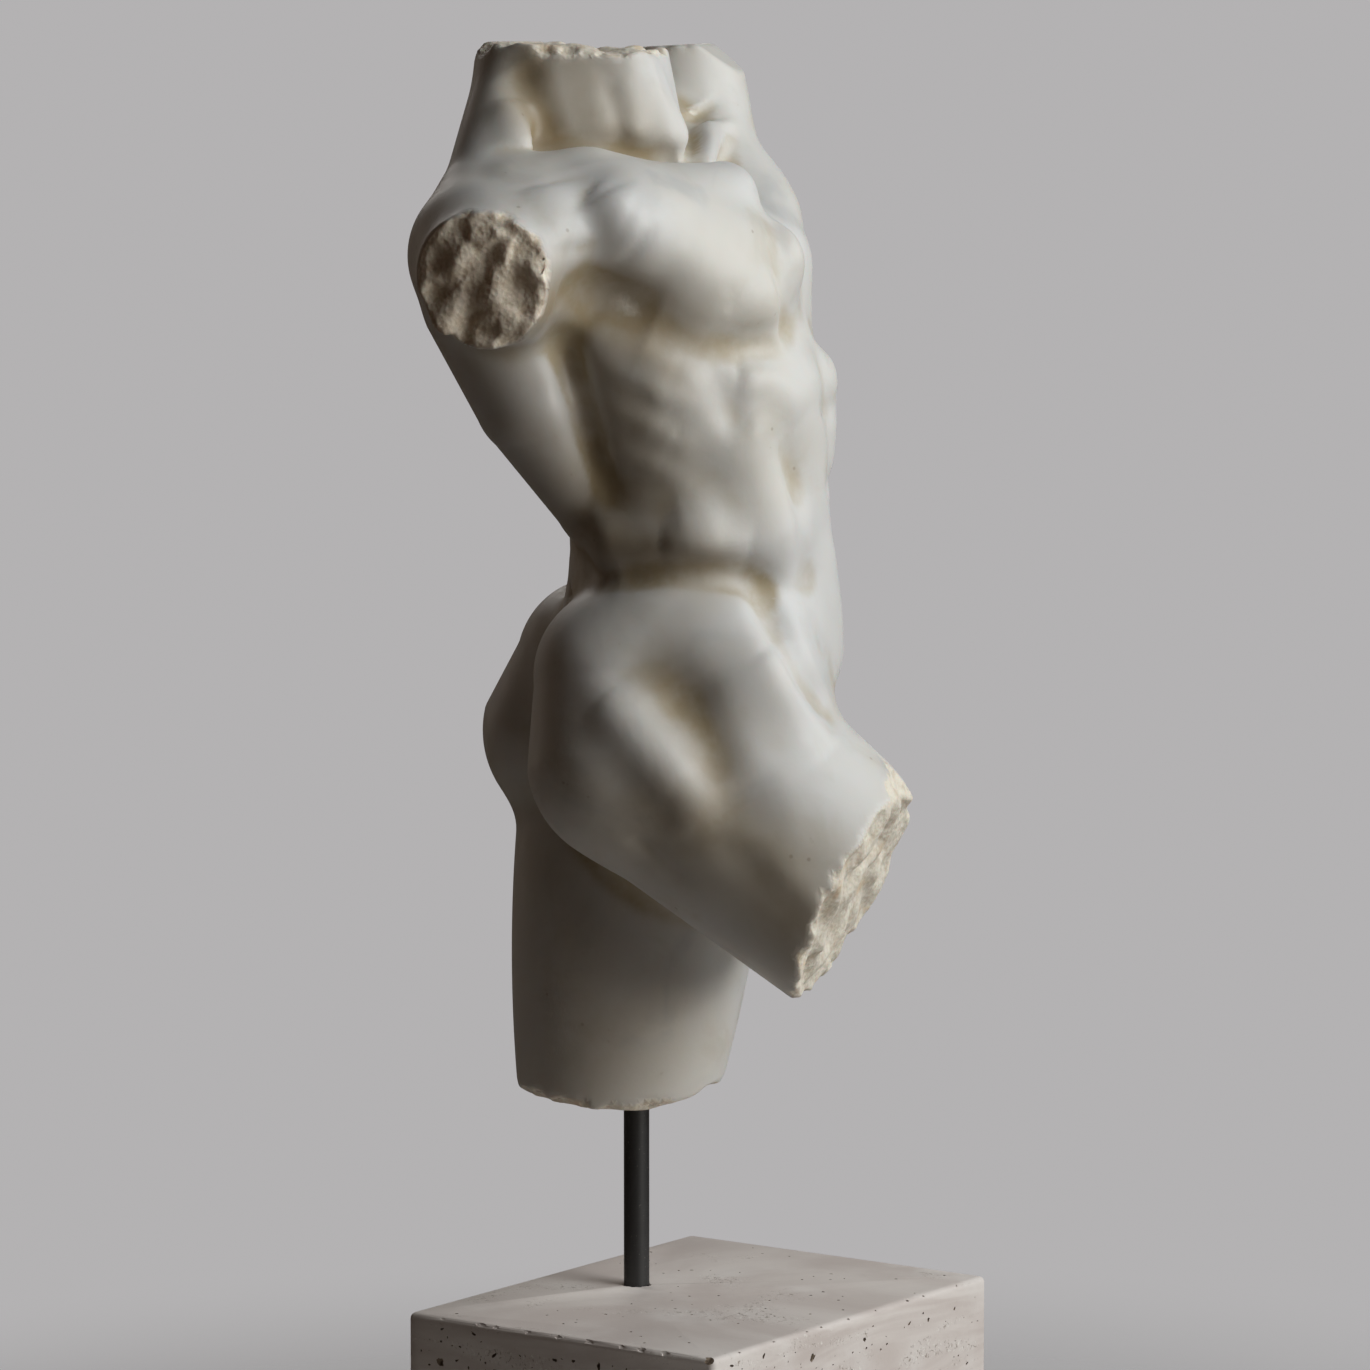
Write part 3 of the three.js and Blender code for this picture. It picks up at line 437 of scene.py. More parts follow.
STROKES += [
    stroke("swell above the right breast", 0, [(-4, 86.7), (-2.2, 85.8), (-0.4, 84.9)], -0.6, 1.7),
    stroke("dip of the right hip, low", 0, [(3.4, 43.6), (6, 38.6), (8.2, 32.6)], 0.45, 2.2),
    stroke("swell of the right buttock, ridge", 0, [(-3.4, 41.8), (0, 37.6), (4, 33)], -0.35, 2),
    stroke("waist under the ribs", 0, [(-3.4, 57.6), (0.6, 56.8), (4.2, 57.4)], 0.4, 2),
    stroke("right nipple", 0, [(8.7, 77.7), (8.9, 77.5)], -0.45, 0.5),
    stroke("ring round the right nipple", 0, [(8.2, 77.4), (9.2, 77.8)], 0.14, 1.1),
    stroke("knock below the right nipple", 0, [(8.1, 75.7), (8.3, 75.5)], -0.16, 0.35),
    stroke("left nipple", 110, [(-0.4, 77.9), (-0.2, 77.7)], -0.4, 0.5),
    stroke("edge of the neck cord", 0, [(2.2, 98.2), (3.4, 95), (4.7, 90.8)], 0.2, 0.9),
    stroke("front of the neck", 0, [(-1.4, 97.4), (-0.2, 94.4), (1, 91.6)], -0.3, 1.6),
    stroke("pit of the neck", 0, [(5, 90.6), (5.2, 90.2)], 0.4, 0.5),
    stroke("tip of the second rib", 0, [(1.6, 68.8), (2.8, 67.9)], -0.15, 0.8),
    stroke("pits on the ribs", 0, [(3.8, 65.2), (4.2, 64.8)], 0.12, 0.4),
    stroke("crease of the buttock", 0, [(-0.4, 28.4), (2.4, 26), (5, 24)], 0.3, 0.9),
    stroke("tendon of the thigh", 0, [(9, 30), (14, 25.4), (18.6, 20.4)], -0.25, 1.6),
]
for drop in (0, RIB_PITCH, 2 * RIB_PITCH):
    places = [(-3, 70.8 - drop), (1.2, 69.6 - drop), (5.4, 67.4 - drop)]
    STROKES.append(stroke("finger on the ribs", 0, places, -0.28, 1.2))
print(len(STROKES), "strokes with the fine ones")

# %% [markdown]
# Laying the strokes on the body
#
# Each place looks in from outside along its side's direction and stops where it meets the
# rough body, by stepping forward each time by most of the distance that is left.

# %% Lay the strokes
LOOK_FROM = 60
LOOK_STEPS = 80
LOOK_SHARE = 0.8
STROKE_DIVISIONS = 3


def smooth_line(places):
    """A smooth curve through the places, as short straight stretches."""
    ends = np.vstack([2 * places[0] - places[1], places, 2 * places[-1] - places[-2]])
    curve = []
    for a, b, c, d in zip(ends, ends[1:], ends[2:], ends[3:]):
        for t in np.arange(STROKE_DIVISIONS) / STROKE_DIVISIONS:
            curve.append(0.5 * (2 * b + (c - a) * t + (2 * a - 5 * b + 4 * c - d) * t**2
                                + (3 * b - a - 3 * c + d) * t**3))
    return np.array(curve + [places[-1]])


def lay(strokes):
    angles = np.radians(np.concatenate([[s["side"]] * len(s["places"]) for s in strokes]))
    across = np.column_stack([np.cos(angles), np.sin(angles), 0 * angles])
    inward = np.column_stack([-np.sin(angles), np.cos(angles), 0 * angles])
    places = np.concatenate([s["places"] for s in strokes])
    points = across * places[:, :1] - LOOK_FROM * inward
    points[:, 2] = places[:, 1]
    for _ in range(LOOK_STEPS):
        points += inward * (LOOK_SHARE * rough_body(points))[:, None]
    print("furthest place from the body", round(float(abs(rough_body(points)).max()), 3), "parts")
    start = 0
    for s in strokes:
        s["curve"] = smooth_line(points[start:start + len(s["places"])])
        start += len(s["places"])


lay(STROKES)

# %% Carve with the strokes
STROKE_REACH = 3
STROKE_FADE = 0.8


def carved_body(points):
    """The whole body before anything broke off."""
    d = rough_body(points)
    for s in STROKES:
        curve, reach = s["curve"], STROKE_REACH * s["wide"]
        low, high = curve.min(0) - reach, curve.max(0) + reach
        here = np.flatnonzero(((points > low) & (points < high)).all(1))
        if len(here) == 0:
            continue
        nearest, along = np.full(len(here), np.inf), np.zeros(len(here))
        for i, (a, b) in enumerate(zip(curve, curve[1:])):
            squared, t = nearest_on(points[here], a, b)
            closer = squared < nearest
            nearest = np.where(closer, squared, nearest)
            along = np.where(closer, (i + t) / (len(curve) - 1), along)
        fade = 1 - STROKE_FADE * (2 * along - 1) ** 4
        d[here] += s["deep"] * fade * np.exp(-nearest / s["wide"] ** 2)
    return d


# %% [markdown]
# Broken faces
#
# Marble breaks through its crystals in small flakes, each nearly flat and tilted its own way,
# with a step to the next. A break is a plane, bent by slow waves, and on it a scatter of seeds
# from a fixed random start: each point follows the tilt of the seeds nearest to it. The
# broken arm and thigh are coarse. The left arm was cut flat, so it has no flakes.

# %% Breaks
FLAKE_SHARPNESS = 2.2
BREAK_DEPTH = 2.5
WAVE_BEND = 1.6
random = np.random.default_rng(7)


def broken_face(name, at, facing, reach, uneven=0, rim=0.25, flakes=0, pitch=1.5, height=0, tilt=0):
    """A break. Flakes is how far they are scattered, pitch how far apart they are."""
    facing = np.array(facing) / np.linalg.norm(facing)
    side = np.cross(facing, (0.2, 1, 0))
    side /= np.linalg.norm(side)
    up = np.cross(side, facing)
    count = int((2 * flakes / pitch) ** 2)
    return dict(
        name=name, at=np.array(at, float), facing=facing, reach=reach, uneven=uneven, rim=rim,
        plane=np.column_stack([side, up]),
        seeds=random.uniform(-flakes, flakes, (count, 2)),
        tilts=random.normal(0, tilt, (count, 2)),
        levels=random.normal(0, height, count),
        flakes=flakes,
    )


BREAKS = [
    broken_face("underside", (-2, 0, 0), (-0.06, 0, -1), reach=40),
    broken_face("underside, right", (5.2, 0, 1), (0.32, 0, -0.95), reach=9, uneven=0.2,
                flakes=9, pitch=2.4, height=0.1, tilt=0.08),
    broken_face("underside, left", (-10.4, 0, 0.7), (-0.5, 0, -0.87), reach=5, uneven=0.2,
                flakes=5, pitch=1.8, height=0.1, tilt=0.1),
    broken_face("right thigh", (20, -20, 22.2), (0.861, -0.25, -0.443), reach=26, uneven=0.5,
                flakes=13, pitch=1.7, height=0.05, tilt=0.06),
    broken_face("right thigh, top", (24.6, -20, 31.1), (0.92, -0.15, 0.36), reach=7, uneven=0.4,
                flakes=7, pitch=1.7, height=0.05, tilt=0.06),
    broken_face("right arm", (-14.1, -31, 78.6), (-0.3, -0.94, -0.12), reach=12, uneven=0.5,
                flakes=8, pitch=1.7, height=0.12, tilt=0.13),
    broken_face("neck", (-6, -8, 99.8), (0.06, 0, 1), reach=14, uneven=0.35,
                flakes=11, pitch=1.9, height=0.12, tilt=0.14),
    broken_face("left arm", (3, 10, 100), (-0.05, 0, 1), reach=12, rim=0.3),
    broken_face("left arm, slope", (7.9, 10, 99.3), (0.58, -0.1, 0.81), reach=8, rim=0.3),
]


def unevenness(points):
    x, y, z = points.T
    bent_x = x + WAVE_BEND * np.sin(0.53 * y + 0.31 * z + 1)
    bent_y = y + WAVE_BEND * np.sin(0.47 * z + 0.37 * x + 2)
    bent_z = z + WAVE_BEND * np.sin(0.61 * x + 0.29 * y + 3)
    return 0.4 * (np.sin(1.3 * bent_x) + np.sin(1.1 * bent_y + 1) + np.sin(1.2 * bent_z + 2))


def flake_height(face, flat):
    """Height of the flakes at places in the break's own plane."""
    apart = flat[:, None, :] - face["seeds"][None, :, :]
    squared = (apart**2).sum(2)
    weight = np.exp(-FLAKE_SHARPNESS * (squared - squared.min(1, keepdims=True)))
    height = face["levels"] + (apart * face["tilts"]).sum(2)
    return (weight * height).sum(1) / weight.sum(1)


def beyond_break(face, points, flaked):
    """How far points lie beyond a break, in parts."""
    apart = points - face["at"]
    plane = apart @ face["facing"]
    depth = plane + face["uneven"] * unevenness(points)
    if flaked and face["flakes"]:
        flat = apart @ face["plane"]
        here = np.flatnonzero((abs(plane) < BREAK_DEPTH) & ((flat**2).sum(1) < face["flakes"] ** 2))
        depth[here] += flake_height(face, flat[here])
    return np.minimum(depth, face["reach"] - np.linalg.norm(apart, axis=1))


CHIPS = []
CHIP_RIM = 0.12


def body(points, flaked=True):
    d = carved_body(points)
    for face in BREAKS:
        d = cut_off(d, beyond_break(face, points, flaked), face["rim"])
    for centre, radius in CHIPS:
        here = np.flatnonzero((abs(points - centre) < radius + CHIP_RIM).all(1))
        bite = radius - np.linalg.norm(points[here] - centre, axis=1)
        d[here] = cut_off(d[here], bite, CHIP_RIM)
    return d


print([face["name"] for face in BREAKS])

# %% [markdown]
# Adding and cutting with a cylinder
#
# The rod's bores are closed and drilled with round cutters, and a Boolean joins or cuts two
# closed meshes exactly. The cutter is thrown away afterwards.

# %% Cylinders on the rod's axis and Booleans
BORE_RADIUS = rod_radius + BORE_CLEARANCE
BORE_STEPS = 64


def rod_cylinder(bottom, top, radius):
    bm = bmesh.new()
    bmesh.ops.create_cone(bm, cap_ends=True, segments=BORE_STEPS, radius1=radius, radius2=radius,
                          depth=top - bottom, matrix=Matrix.Translation((rod_x, 0, (bottom + top) / 2)))
    return piece_from(bm, "cylinder")


def combine(piece, cutter, operation, **settings):
    apply_modifier(piece, "BOOLEAN", object=cutter, operation=operation, solver="EXACT", **settings)
    bpy.data.objects.remove(cutter)


# %% [markdown]
# The blank
#
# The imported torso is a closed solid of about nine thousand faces: right in its form, coarse to
# look at. A copy of it is merged, because its triangles are loose, the rod's bore is closed
# again, and a voxel remesh turns it into even squares of about three millimetres. Even squares
# take carving in every direction equally well. Subdividing the triangles instead would keep
# their long, uneven shapes and show them as facets.

# %% Blank for the torso
VOXEL = 3.3 * MM

bm = opened(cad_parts["marble_torso"].data)
bmesh.ops.remove_doubles(bm, verts=bm.verts, dist=1e-6)
print("blank from", len(bm.faces), "faces, open edges", sum(edge.is_boundary for edge in bm.edges))
torso = piece_from(bm, "carved_torso")
plug = rod_cylinder(underside + 1 * MM, underside + ROD_IN_TORSO + 2 * MM, BORE_RADIUS + 1 * MM)
combine(torso, plug, "UNION")
apply_modifier(torso, "REMESH", mode="VOXEL", voxel_size=VOXEL)
print("remeshed to", len(torso.data.polygons), "squares")

# %% [markdown]
# Cutting the blank to the formula
#
# Each point slides along the surface's own direction until the distance is nought, which is
# what a pointing machine does for a carver. A hair is left off all round, so that the carved
# torso stays inside the solid's box. In between the points are evened out once, because the
# slides crowd them in the folds.

# %% Slide the points onto the form
INSET = 0.3 * MM / PART
TO_PARTS = Matrix.Scale(1 / PART, 4) @ TORSO_FRAME.inverted()
FROM_PARTS = TO_PARTS.inverted()


def normals_of(mesh):
    normals = np.empty(3 * len(mesh.vertices))
    mesh.vertex_normals.foreach_get("vector", normals)
    return normals.reshape(-1, 3)


def carve(piece, passes, flaked):
    """Carves the piece and returns its points in parts."""
    turn_back = np.array(TORSO_FRAME)[:3, :3]
    parts = changed(points_of(piece.data), TO_PARTS)
    for _ in range(passes):
        outside = body(parts, flaked) + INSET
        parts = parts - (normals_of(piece.data) @ turn_back) * np.clip(outside, -1, 1)[:, None]
        put_points(piece.data, changed(parts, FROM_PARTS))
    return parts


carve(torso, passes=3, flaked=False)
bm = opened(torso.data)
even_out(bm, bm.verts)
put_back(bm, torso.data)
parts = carve(torso, passes=3, flaked=False)
print("carved", len(parts), "points, furthest off", round(float(abs(body(parts, False) + INSET).max()), 3))

# %% [markdown]
# Finer squares where the stone is broken
#
# Flakes and chipped rims need smaller faces than smooth skin does. The edges near every break
# are halved once, and the rest of the torso keeps its coarser squares, which holds the piece
# under two hundred thousand triangles.

# %% Subdivide near the breaks
NEAR_BREAK = 0.45


def near_breaks(points):
    return abs(np.array([beyond_break(face, points, False) for face in BREAKS])).min(0) < NEAR_BREAK


near = near_breaks(parts)
bm = opened(torso.data)
edges = [edge for edge in bm.edges if near[edge.verts[0].index] or near[edge.verts[1].index]]
bmesh.ops.subdivide_edges(bm, edges=edges, cuts=1, use_grid_fill=True)
put_back(bm, torso.data)
print("halved", len(edges), "edges; the torso has", len(torso.data.polygons), "faces")

# %% [markdown]
# Chips along the rims
#
# The rim of a broken face loses small shells of stone, each hollow like the inside of a spoon.
# A chip is a ball whose edge just bites into the rim. Places on the rim are drawn at random
# from the mesh's own points, where skin and break meet, with a fixed start so that every run
# gives the same chips. Long shallow bites, with a big ball, give the straight flaked edge under
# the standing leg.

# %% Chips
PROBE = 0.02
RIM_BAND = 0.7


def slope_of(distance, points):
    slope = np.empty_like(points)
    for axis in range(3):
        probe = np.zeros(3)
        probe[axis] = PROBE
        slope[:, axis] = distance(points + probe) - distance(points - probe)
    return slope / np.linalg.norm(slope, axis=1, keepdims=True)


def chip_rim(face, count, ball, bite):
    """Adds chips to a break's rim: a range of ball radii and of bites, in parts."""
    on_rim = abs(beyond_break(face, parts, flaked=False)) + abs(carved_body(parts)) < RIM_BAND
    rim = parts[np.flatnonzero(on_rim)]
    chosen = rim[random.choice(len(rim), min(count, len(rim)), replace=False)]
    outward = slope_of(carved_body, chosen) + face["facing"]
    outward /= np.linalg.norm(outward, axis=1, keepdims=True)
    for place, way in zip(chosen, outward):
        radius = random.uniform(*ball)
        CHIPS.append((place + way * (radius - random.uniform(*bite)), radius))


faces = {face["name"]: face for face in BREAKS}
for name, count, ball, bite in (
    ("underside", 16, (2.5, 5), (0.3, 0.6)),
    ("underside", 20, (0.8, 1.6), (0.12, 0.3)),
    ("right thigh", 10, (1.6, 3), (0.12, 0.3)),
    ("right thigh", 14, (0.7, 1.3), (0.1, 0.25)),
    ("right thigh, top", 4, (0.9, 1.8), (0.12, 0.3)),
    ("right arm", 20, (0.7, 1.6), (0.12, 0.35)),
    ("neck", 12, (1.4, 2.8), (0.3, 0.7)),
    ("neck", 14, (0.7, 1.3), (0.12, 0.3)),
    ("left arm", 8, (0.6, 1), (0.08, 0.2)),
):
    chip_rim(faces[name], count, ball, bite)
print(len(CHIPS), "chips")

# %% [markdown]
# The last carving
#
# Now the points slide onto the form with its flakes and chips, and are evened out once near
# the breaks, which takes the needle-sharp teeth off the rims. The result is kept inside the
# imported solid's box, which only trims a few points by less than a millimetre. Then the bore
# for the rod is cut, round and straight, as a core drill leaves it.

# %% Carve the breaks and drill the bore
INSIDE_BOX = 0.1 * MM
torso_low, torso_high = (np.array(corner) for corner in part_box("marble_torso"))

carve(torso, passes=5, flaked=True)
bm = opened(torso.data)
near = near_breaks(changed(points_of(torso.data), TO_PARTS))
even_out(bm, [bm.verts[i] for i in np.flatnonzero(near)])
put_back(bm, torso.data)
put_points(torso.data, np.clip(points_of(torso.data), torso_low + INSIDE_BOX, torso_high - INSIDE_BOX))

bore_top = underside + ROD_IN_TORSO + BORE_CLEARANCE
combine(torso, rod_cylinder(underside - 0.05, bore_top, BORE_RADIUS), "DIFFERENCE")
print("the torso has", triangles_in(torso), "triangles")

# %% [markdown]
# What the surface remembers
#
# Dirt and ochre stay where a cloth can't reach, and in the folds their colour also serves as
# painted shade. Broken stone has another colour than polished skin. The materials need to know
# this, so four numbers are kept at every point. Broken is how deep a point lies under the skin
# that was there before. Hollow compares a point with the average of its neighbours, taken many
# times over: in a fold the average lies outside the surface, on a ridge inside it. Weathered says
# which breaks are old and brown. Painted shade marks the places that lie in shade and are darkened
# with a brown colour: under the arm, at the waist, on the neck and low on the thighs.

# %% Broken, hollow, weathered and painted shade
FINE_ROUNDS = 40
BROAD_ROUNDS = 240
SAWN_DEPTH = 0.3


def neighbour_average(points, edges, rounds):
    count = np.bincount(edges.ravel(), minlength=len(points))[:, None]
    for _ in range(rounds):
        total = np.column_stack([
            np.bincount(edges[:, 0], points[edges[:, 1], axis], len(points))
            + np.bincount(edges[:, 1], points[edges[:, 0], axis], len(points))
            for axis in range(3)
        ])
        points = 0.5 * points + 0.5 * total / count
    return points


def keep_number(mesh, name, values):
    mesh.attributes.new(name, "FLOAT", "POINT").data.foreach_set("value", values.astype(np.float32))


def soft_step(values, low, high):
    t = np.clip((values - low) / (high - low), 0, 1)
    return t * t * (3 - 2 * t)


# Painted shade: strokes along places that lie in shade, which are darkened with a brown colour
PAINTED_SHADES = [
    stroke("pit of the arm", 0, [(-7, 76.5), (-2, 75.8), (4, 73)], 1, 4.2),
    stroke("side of the ribs", 0, [(-3, 72), (-1, 66), (1, 60)], 0.5, 4.5),
    stroke("side of the back", 0, [(-11, 72), (-8.5, 64), (-6, 58)], 0.5, 4),
    stroke("waist", 0, [(-5, 56.5), (0, 54.5), (6, 52.5)], 0.8, 3.2),
    stroke("hollow of the neck", 0, [(-9.6, 98), (-8.8, 94), (-7.6, 91)], 1, 3),
    stroke("front of the neck", 0, [(-5, 98), (-4, 94), (-1, 91)], 0.6, 3.4),
    stroke("dip of the hip", 0, [(2.8, 43), (6, 38), (8, 32)], 0.8, 2.8),
    stroke("thigh below", 0, [(2, 30), (8, 28.5), (12, 25), (14, 20)], 0.75, 4.8),
    stroke("leg", 0, [(-8, 26), (-5, 16), (-4, 6)], 0.4, 6),
]
lay(PAINTED_SHADES)

mesh = torso.data
points = points_of(mesh)
parts = changed(points, TO_PARTS)
normals = normals_of(mesh)
edges = np.empty(2 * len(mesh.edges), np.int32)
mesh.edges.foreach_get("vertices", edges)
edges = edges.reshape(-1, 2)

sawn = np.zeros(len(parts), bool)
for name in ("left arm", "left arm, slope"):
    sawn |= abs(beyond_break(faces[name], parts, False)) < SAWN_DEPTH
broken = soft_step(-carved_body(parts), 0.08, 0.3) * ~sawn
fine = neighbour_average(points, edges, FINE_ROUNDS)
broad = neighbour_average(fine, edges, BROAD_ROUNDS)
fine_depth = ((fine - points) * normals).sum(1) / MM
broad_depth = ((broad - points) * normals).sum(1) / MM
# Hollow drives the ochre earth in the folds, which is partly painted shade
hollow = soft_step(fine_depth, 0.1, 1.1) * 0.5 + soft_step(broad_depth, 0.3, 5) * 0.75
keep_number(mesh, "broken", broken)
keep_number(mesh, "hollow", np.clip(hollow, 0, 1) * (1 - broken))
weathered = np.zeros(len(parts))
for name, share in (("underside", 0.35), ("right thigh", 0.1), ("right arm", 1), ("neck", 0.35)):
    weathered = np.maximum(weathered, share * (abs(beyond_break(faces[name], parts, False)) < BREAK_DEPTH))
keep_number(mesh, "weathered", weathered)

# Painted shade: how strongly each point is darkened by the strokes above
painted_shade = np.zeros(len(parts))
for shade_stroke in PAINTED_SHADES:
    for a, b in zip(shade_stroke["curve"], shade_stroke["curve"][1:]):
        squared, _ = nearest_on(parts, a, b)
        painted_shade = np.maximum(painted_shade, shade_stroke["deep"] * np.exp(-squared / shade_stroke["wide"] ** 2))
keep_number(mesh, "painted_shade", painted_shade * (1 - broken))
print("broken", round(float(broken.mean()), 3), "hollow", round(float(hollow.mean()), 3))
print("fine", np.percentile(fine_depth, [50, 90, 99]).round(2), "mm, broad",
      np.percentile(broad_depth, [50, 90, 99]).round(2), "mm")
mesh.shade_smooth()

# %% [markdown]
# The travertine block
#
# The block is sawn and honed travertine with rounded edges. Travertine is full of small
# cavities that its plants and bubbles left. They run along the bedding, so most are longer
# than they are high, and they open on the sawn sides as dark holes. On the top most were
# filled before honing. A cavity could be painted on, but then the light wouldn't catch its
# rim. Here each is a squashed, dented ball that is cut out of the block.

# %% Block with rounded edges
EDGE_ROUNDING = 4 * MM

block_size = plinth_high - plinth_low
block_middle = (plinth_high + plinth_low) / 2
bm = bmesh.new()
bmesh.ops.create_cube(bm, size=1, matrix=Matrix.Translation(block_middle) @ Matrix.Diagonal((*block_size, 1)))
bmesh.ops.bevel(bm, geom=bm.edges[:], offset=EDGE_ROUNDING, offset_type="OFFSET", segments=4,
                profile=0.5, affect="EDGES", material=-1)
block = piece_from(bm, "travertine_block")
print("block", [round(side, 3) for side in block_size], "with", len(block.data.polygons), "faces")

# %% Cavities
DENT_SCALE = 1.7
DENT_SHIFT = 400
PLACE_TRIES = 200


def dented_ball(bm, place, outward, length, height, depth, tilt, dents, subdivisions=2):
    """Half buried in a face: length along the bedding, height across it, depth into the stone."""
    along = Z.cross(outward) if abs(outward.z) < 0.5 else X
    axes = Matrix((along, outward.cross(along), outward)).transposed().to_4x4()
    turn = Matrix.Translation(place) @ axes @ Matrix.Rotation(tilt, 4, "Z")
    made = bmesh.ops.create_icosphere(bm, subdivisions=subdivisions, radius=1)
    for vert in made["verts"]:
        dent = 1 + dents * noise.noise(vert.co * DENT_SCALE + place * DENT_SHIFT)
        vert.co = turn @ (Vector((vert.co.x * length, vert.co.y * height, vert.co.z * depth)) * dent)


def spread_places(sizes, width, height, gap):
    """Random places on a face for cavities of these sizes, thicker in clouds and never touching."""
    places = []
    for size in sorted(sizes, reverse=True):
        for _ in range(PLACE_TRIES):
            u, v = random.uniform(-width / 2, width / 2), random.uniform(-height / 2, height / 2)
            cloud = noise.noise(Vector((u * 14, v * 26, width * 7)))
            clear = all(math.hypot(u - p, v - q) > gap * (size + other) for p, q, other in places)
            if clear and cloud > random.uniform(-0.3, 0.3):
                places.append((u, v, size))
                break
    return places


SIDE_CAVITIES = 230
TOP_CAVITIES = 60
SMALL_CAVITY = 1.3 * MM
USUAL_CAVITY, CAVITY_VARIETY, LARGEST_CAVITY = 1.05, 0.5, 3.6
CAVITY_GAP = 1.6
EDGE_MARGIN = 7 * MM
CLEAR_OF_ROD = 14 * MM
near_corner = Vector((plinth_high.x, plinth_low.y, plinth_high.z))
corner_way = Vector((1, -1, 1)).normalized()
holed = block_size - Vector((2, 2, 2)) * EDGE_MARGIN

bm = bmesh.new()
for outward, along in ((X, Y), (-X, -Y), (Y, -X), (-Y, X)):
    reach, width = abs(outward.dot(block_size)) / 2, abs(along.dot(block_size))
    count = round(SIDE_CAVITIES * width / block_size.y)
    sizes = random.lognormal(math.log(USUAL_CAVITY), CAVITY_VARIETY, count)
    sizes = np.minimum(sizes, LARGEST_CAVITY) * MM
    for u, v, size in spread_places(sizes, abs(along.dot(holed)), holed.z, CAVITY_GAP):
        height = size * random.uniform(0.35, 0.8)
        place = block_middle + outward * (reach - 0.1 * height) + along * u + Z * v
        dented_ball(bm, place, outward, size, height, random.uniform(1, 2.2) * MM,
                    random.normal(0.3, 0.6), 0.7, 1 if size < SMALL_CAVITY else 2)
sizes = random.uniform(0.7, 1.5, TOP_CAVITIES) * MM
for u, v, size in spread_places(sizes, holed.x, holed.y, 2 * CAVITY_GAP):
    place = Vector((u, v, plinth_high.z))
    if math.hypot(u - rod_x, v) > CLEAR_OF_ROD:
        dented_ball(bm, place, Z, size, 0.7 * size, 0.6 * MM, random.uniform(0, 3), 0.6, 1)
# The corner's chip gets the cavities' dark colour of old dirt and painted shade
dented_ball(bm, near_corner + corner_way * 4.5 * MM, corner_way, length=9.5 * MM, height=8 * MM,
            depth=9 * MM, tilt=0.4, dents=0.4, subdivisions=3)
print("cavity cutters have", len(bm.faces), "faces")
cavities = piece_from(bm, "cavities")

# %% [markdown]
# Knocks on the block
#
# The edges have tiny nicks, and the hole for the rod is crumbled a little at its rim, because
# travertine breaks out under a drill. They are cut with dented balls too, but stay as clean as
# the honed faces. The corner nearest to the viewer has lost a small piece long ago: its ball is
# among the cavities, so its hollow gets their dark colour of old dirt and painted shade.

# %% Knocks, nicks and the rod's hole
bm = bmesh.new()
edge_runs = [(Vector((x, 0, plinth_high.z)), Y, block_size.y) for x in (plinth_high.x, plinth_low.x)]
edge_runs += [(Vector((0, y, plinth_high.z)), X, block_size.x) for y in (plinth_low.y, plinth_high.y)]
NICKS_PER_EDGE = 9
NICK_CENTRE = EDGE_ROUNDING * 0.42
CLEAR_OF_CORNERS = 40 * MM
HOLE_CRUMBS = 10
for middle, along, length in edge_runs:
    outward = (Vector((middle.x, middle.y, 0)).normalized() + Z).normalized()
    edge = middle - outward * NICK_CENTRE
    for i in range(NICKS_PER_EDGE):
        u = ((i + random.uniform(0.2, 0.8)) / NICKS_PER_EDGE - 0.5) * (length - CLEAR_OF_CORNERS)
        size = random.uniform(0.8, 2.2) * MM
        dented_ball(bm, edge + along * u, outward, size * 2, size, size * 0.5, 0, 0.8)
for i in range(HOLE_CRUMBS):
    angle = math.radians(360 / HOLE_CRUMBS * i + random.uniform(-9, 9))
    place = Vector((rod_x + BORE_RADIUS * math.cos(angle), BORE_RADIUS * math.sin(angle), plinth_high.z))
    size = random.uniform(0.6, 1.5) * MM
    dented_ball(bm, place, Z, size * 1.4, size, size * 0.7, angle + math.pi / 2, 0.6)
knocks = piece_from(bm, "knocks")

bore_bottom = plinth_high.z - ROD_IN_PLINTH - BORE_CLEARANCE
combine(block, rod_cylinder(bore_bottom, plinth_high.z + 0.01, BORE_RADIUS), "DIFFERENCE")
print("block has", triangles_in(block), "triangles")

# %% [markdown]
# The rod
#
# A round steel bar in satin black paint. It is spun from a profile with a small chamfer at
# each end, in enough steps to look round at its edge.

# %% Rod
ROD_STEPS = 72
ROD_CHAMFER = 1 * MM

bm = bmesh.new()
profile = [
    (0, rod_low.z), (rod_radius - ROD_CHAMFER, rod_low.z), (rod_radius, rod_low.z + ROD_CHAMFER),
    (rod_radius, rod_high.z - ROD_CHAMFER), (rod_radius - ROD_CHAMFER, rod_high.z), (0, rod_high.z),
]
verts = [bm.verts.new((rod_x + r, 0, z)) for r, z in profile]
edges = [bm.edges.new(pair) for pair in zip(verts, verts[1:])]
bmesh.ops.spin(bm, geom=verts + edges, cent=(rod_x, 0, 0), axis=(0, 0, 1), angle=2 * math.pi,
               steps=ROD_STEPS, use_merge=True)
bmesh.ops.remove_doubles(bm, verts=bm.verts, dist=1e-6)
bmesh.ops.recalc_face_normals(bm, faces=bm.faces)
rod = piece_from(bm, "black_steel_rod")
rod.data.shade_smooth()
rod.data.set_sharp_from_angle(angle=math.radians(30))
print("rod has", len(rod.data.polygons), "faces")

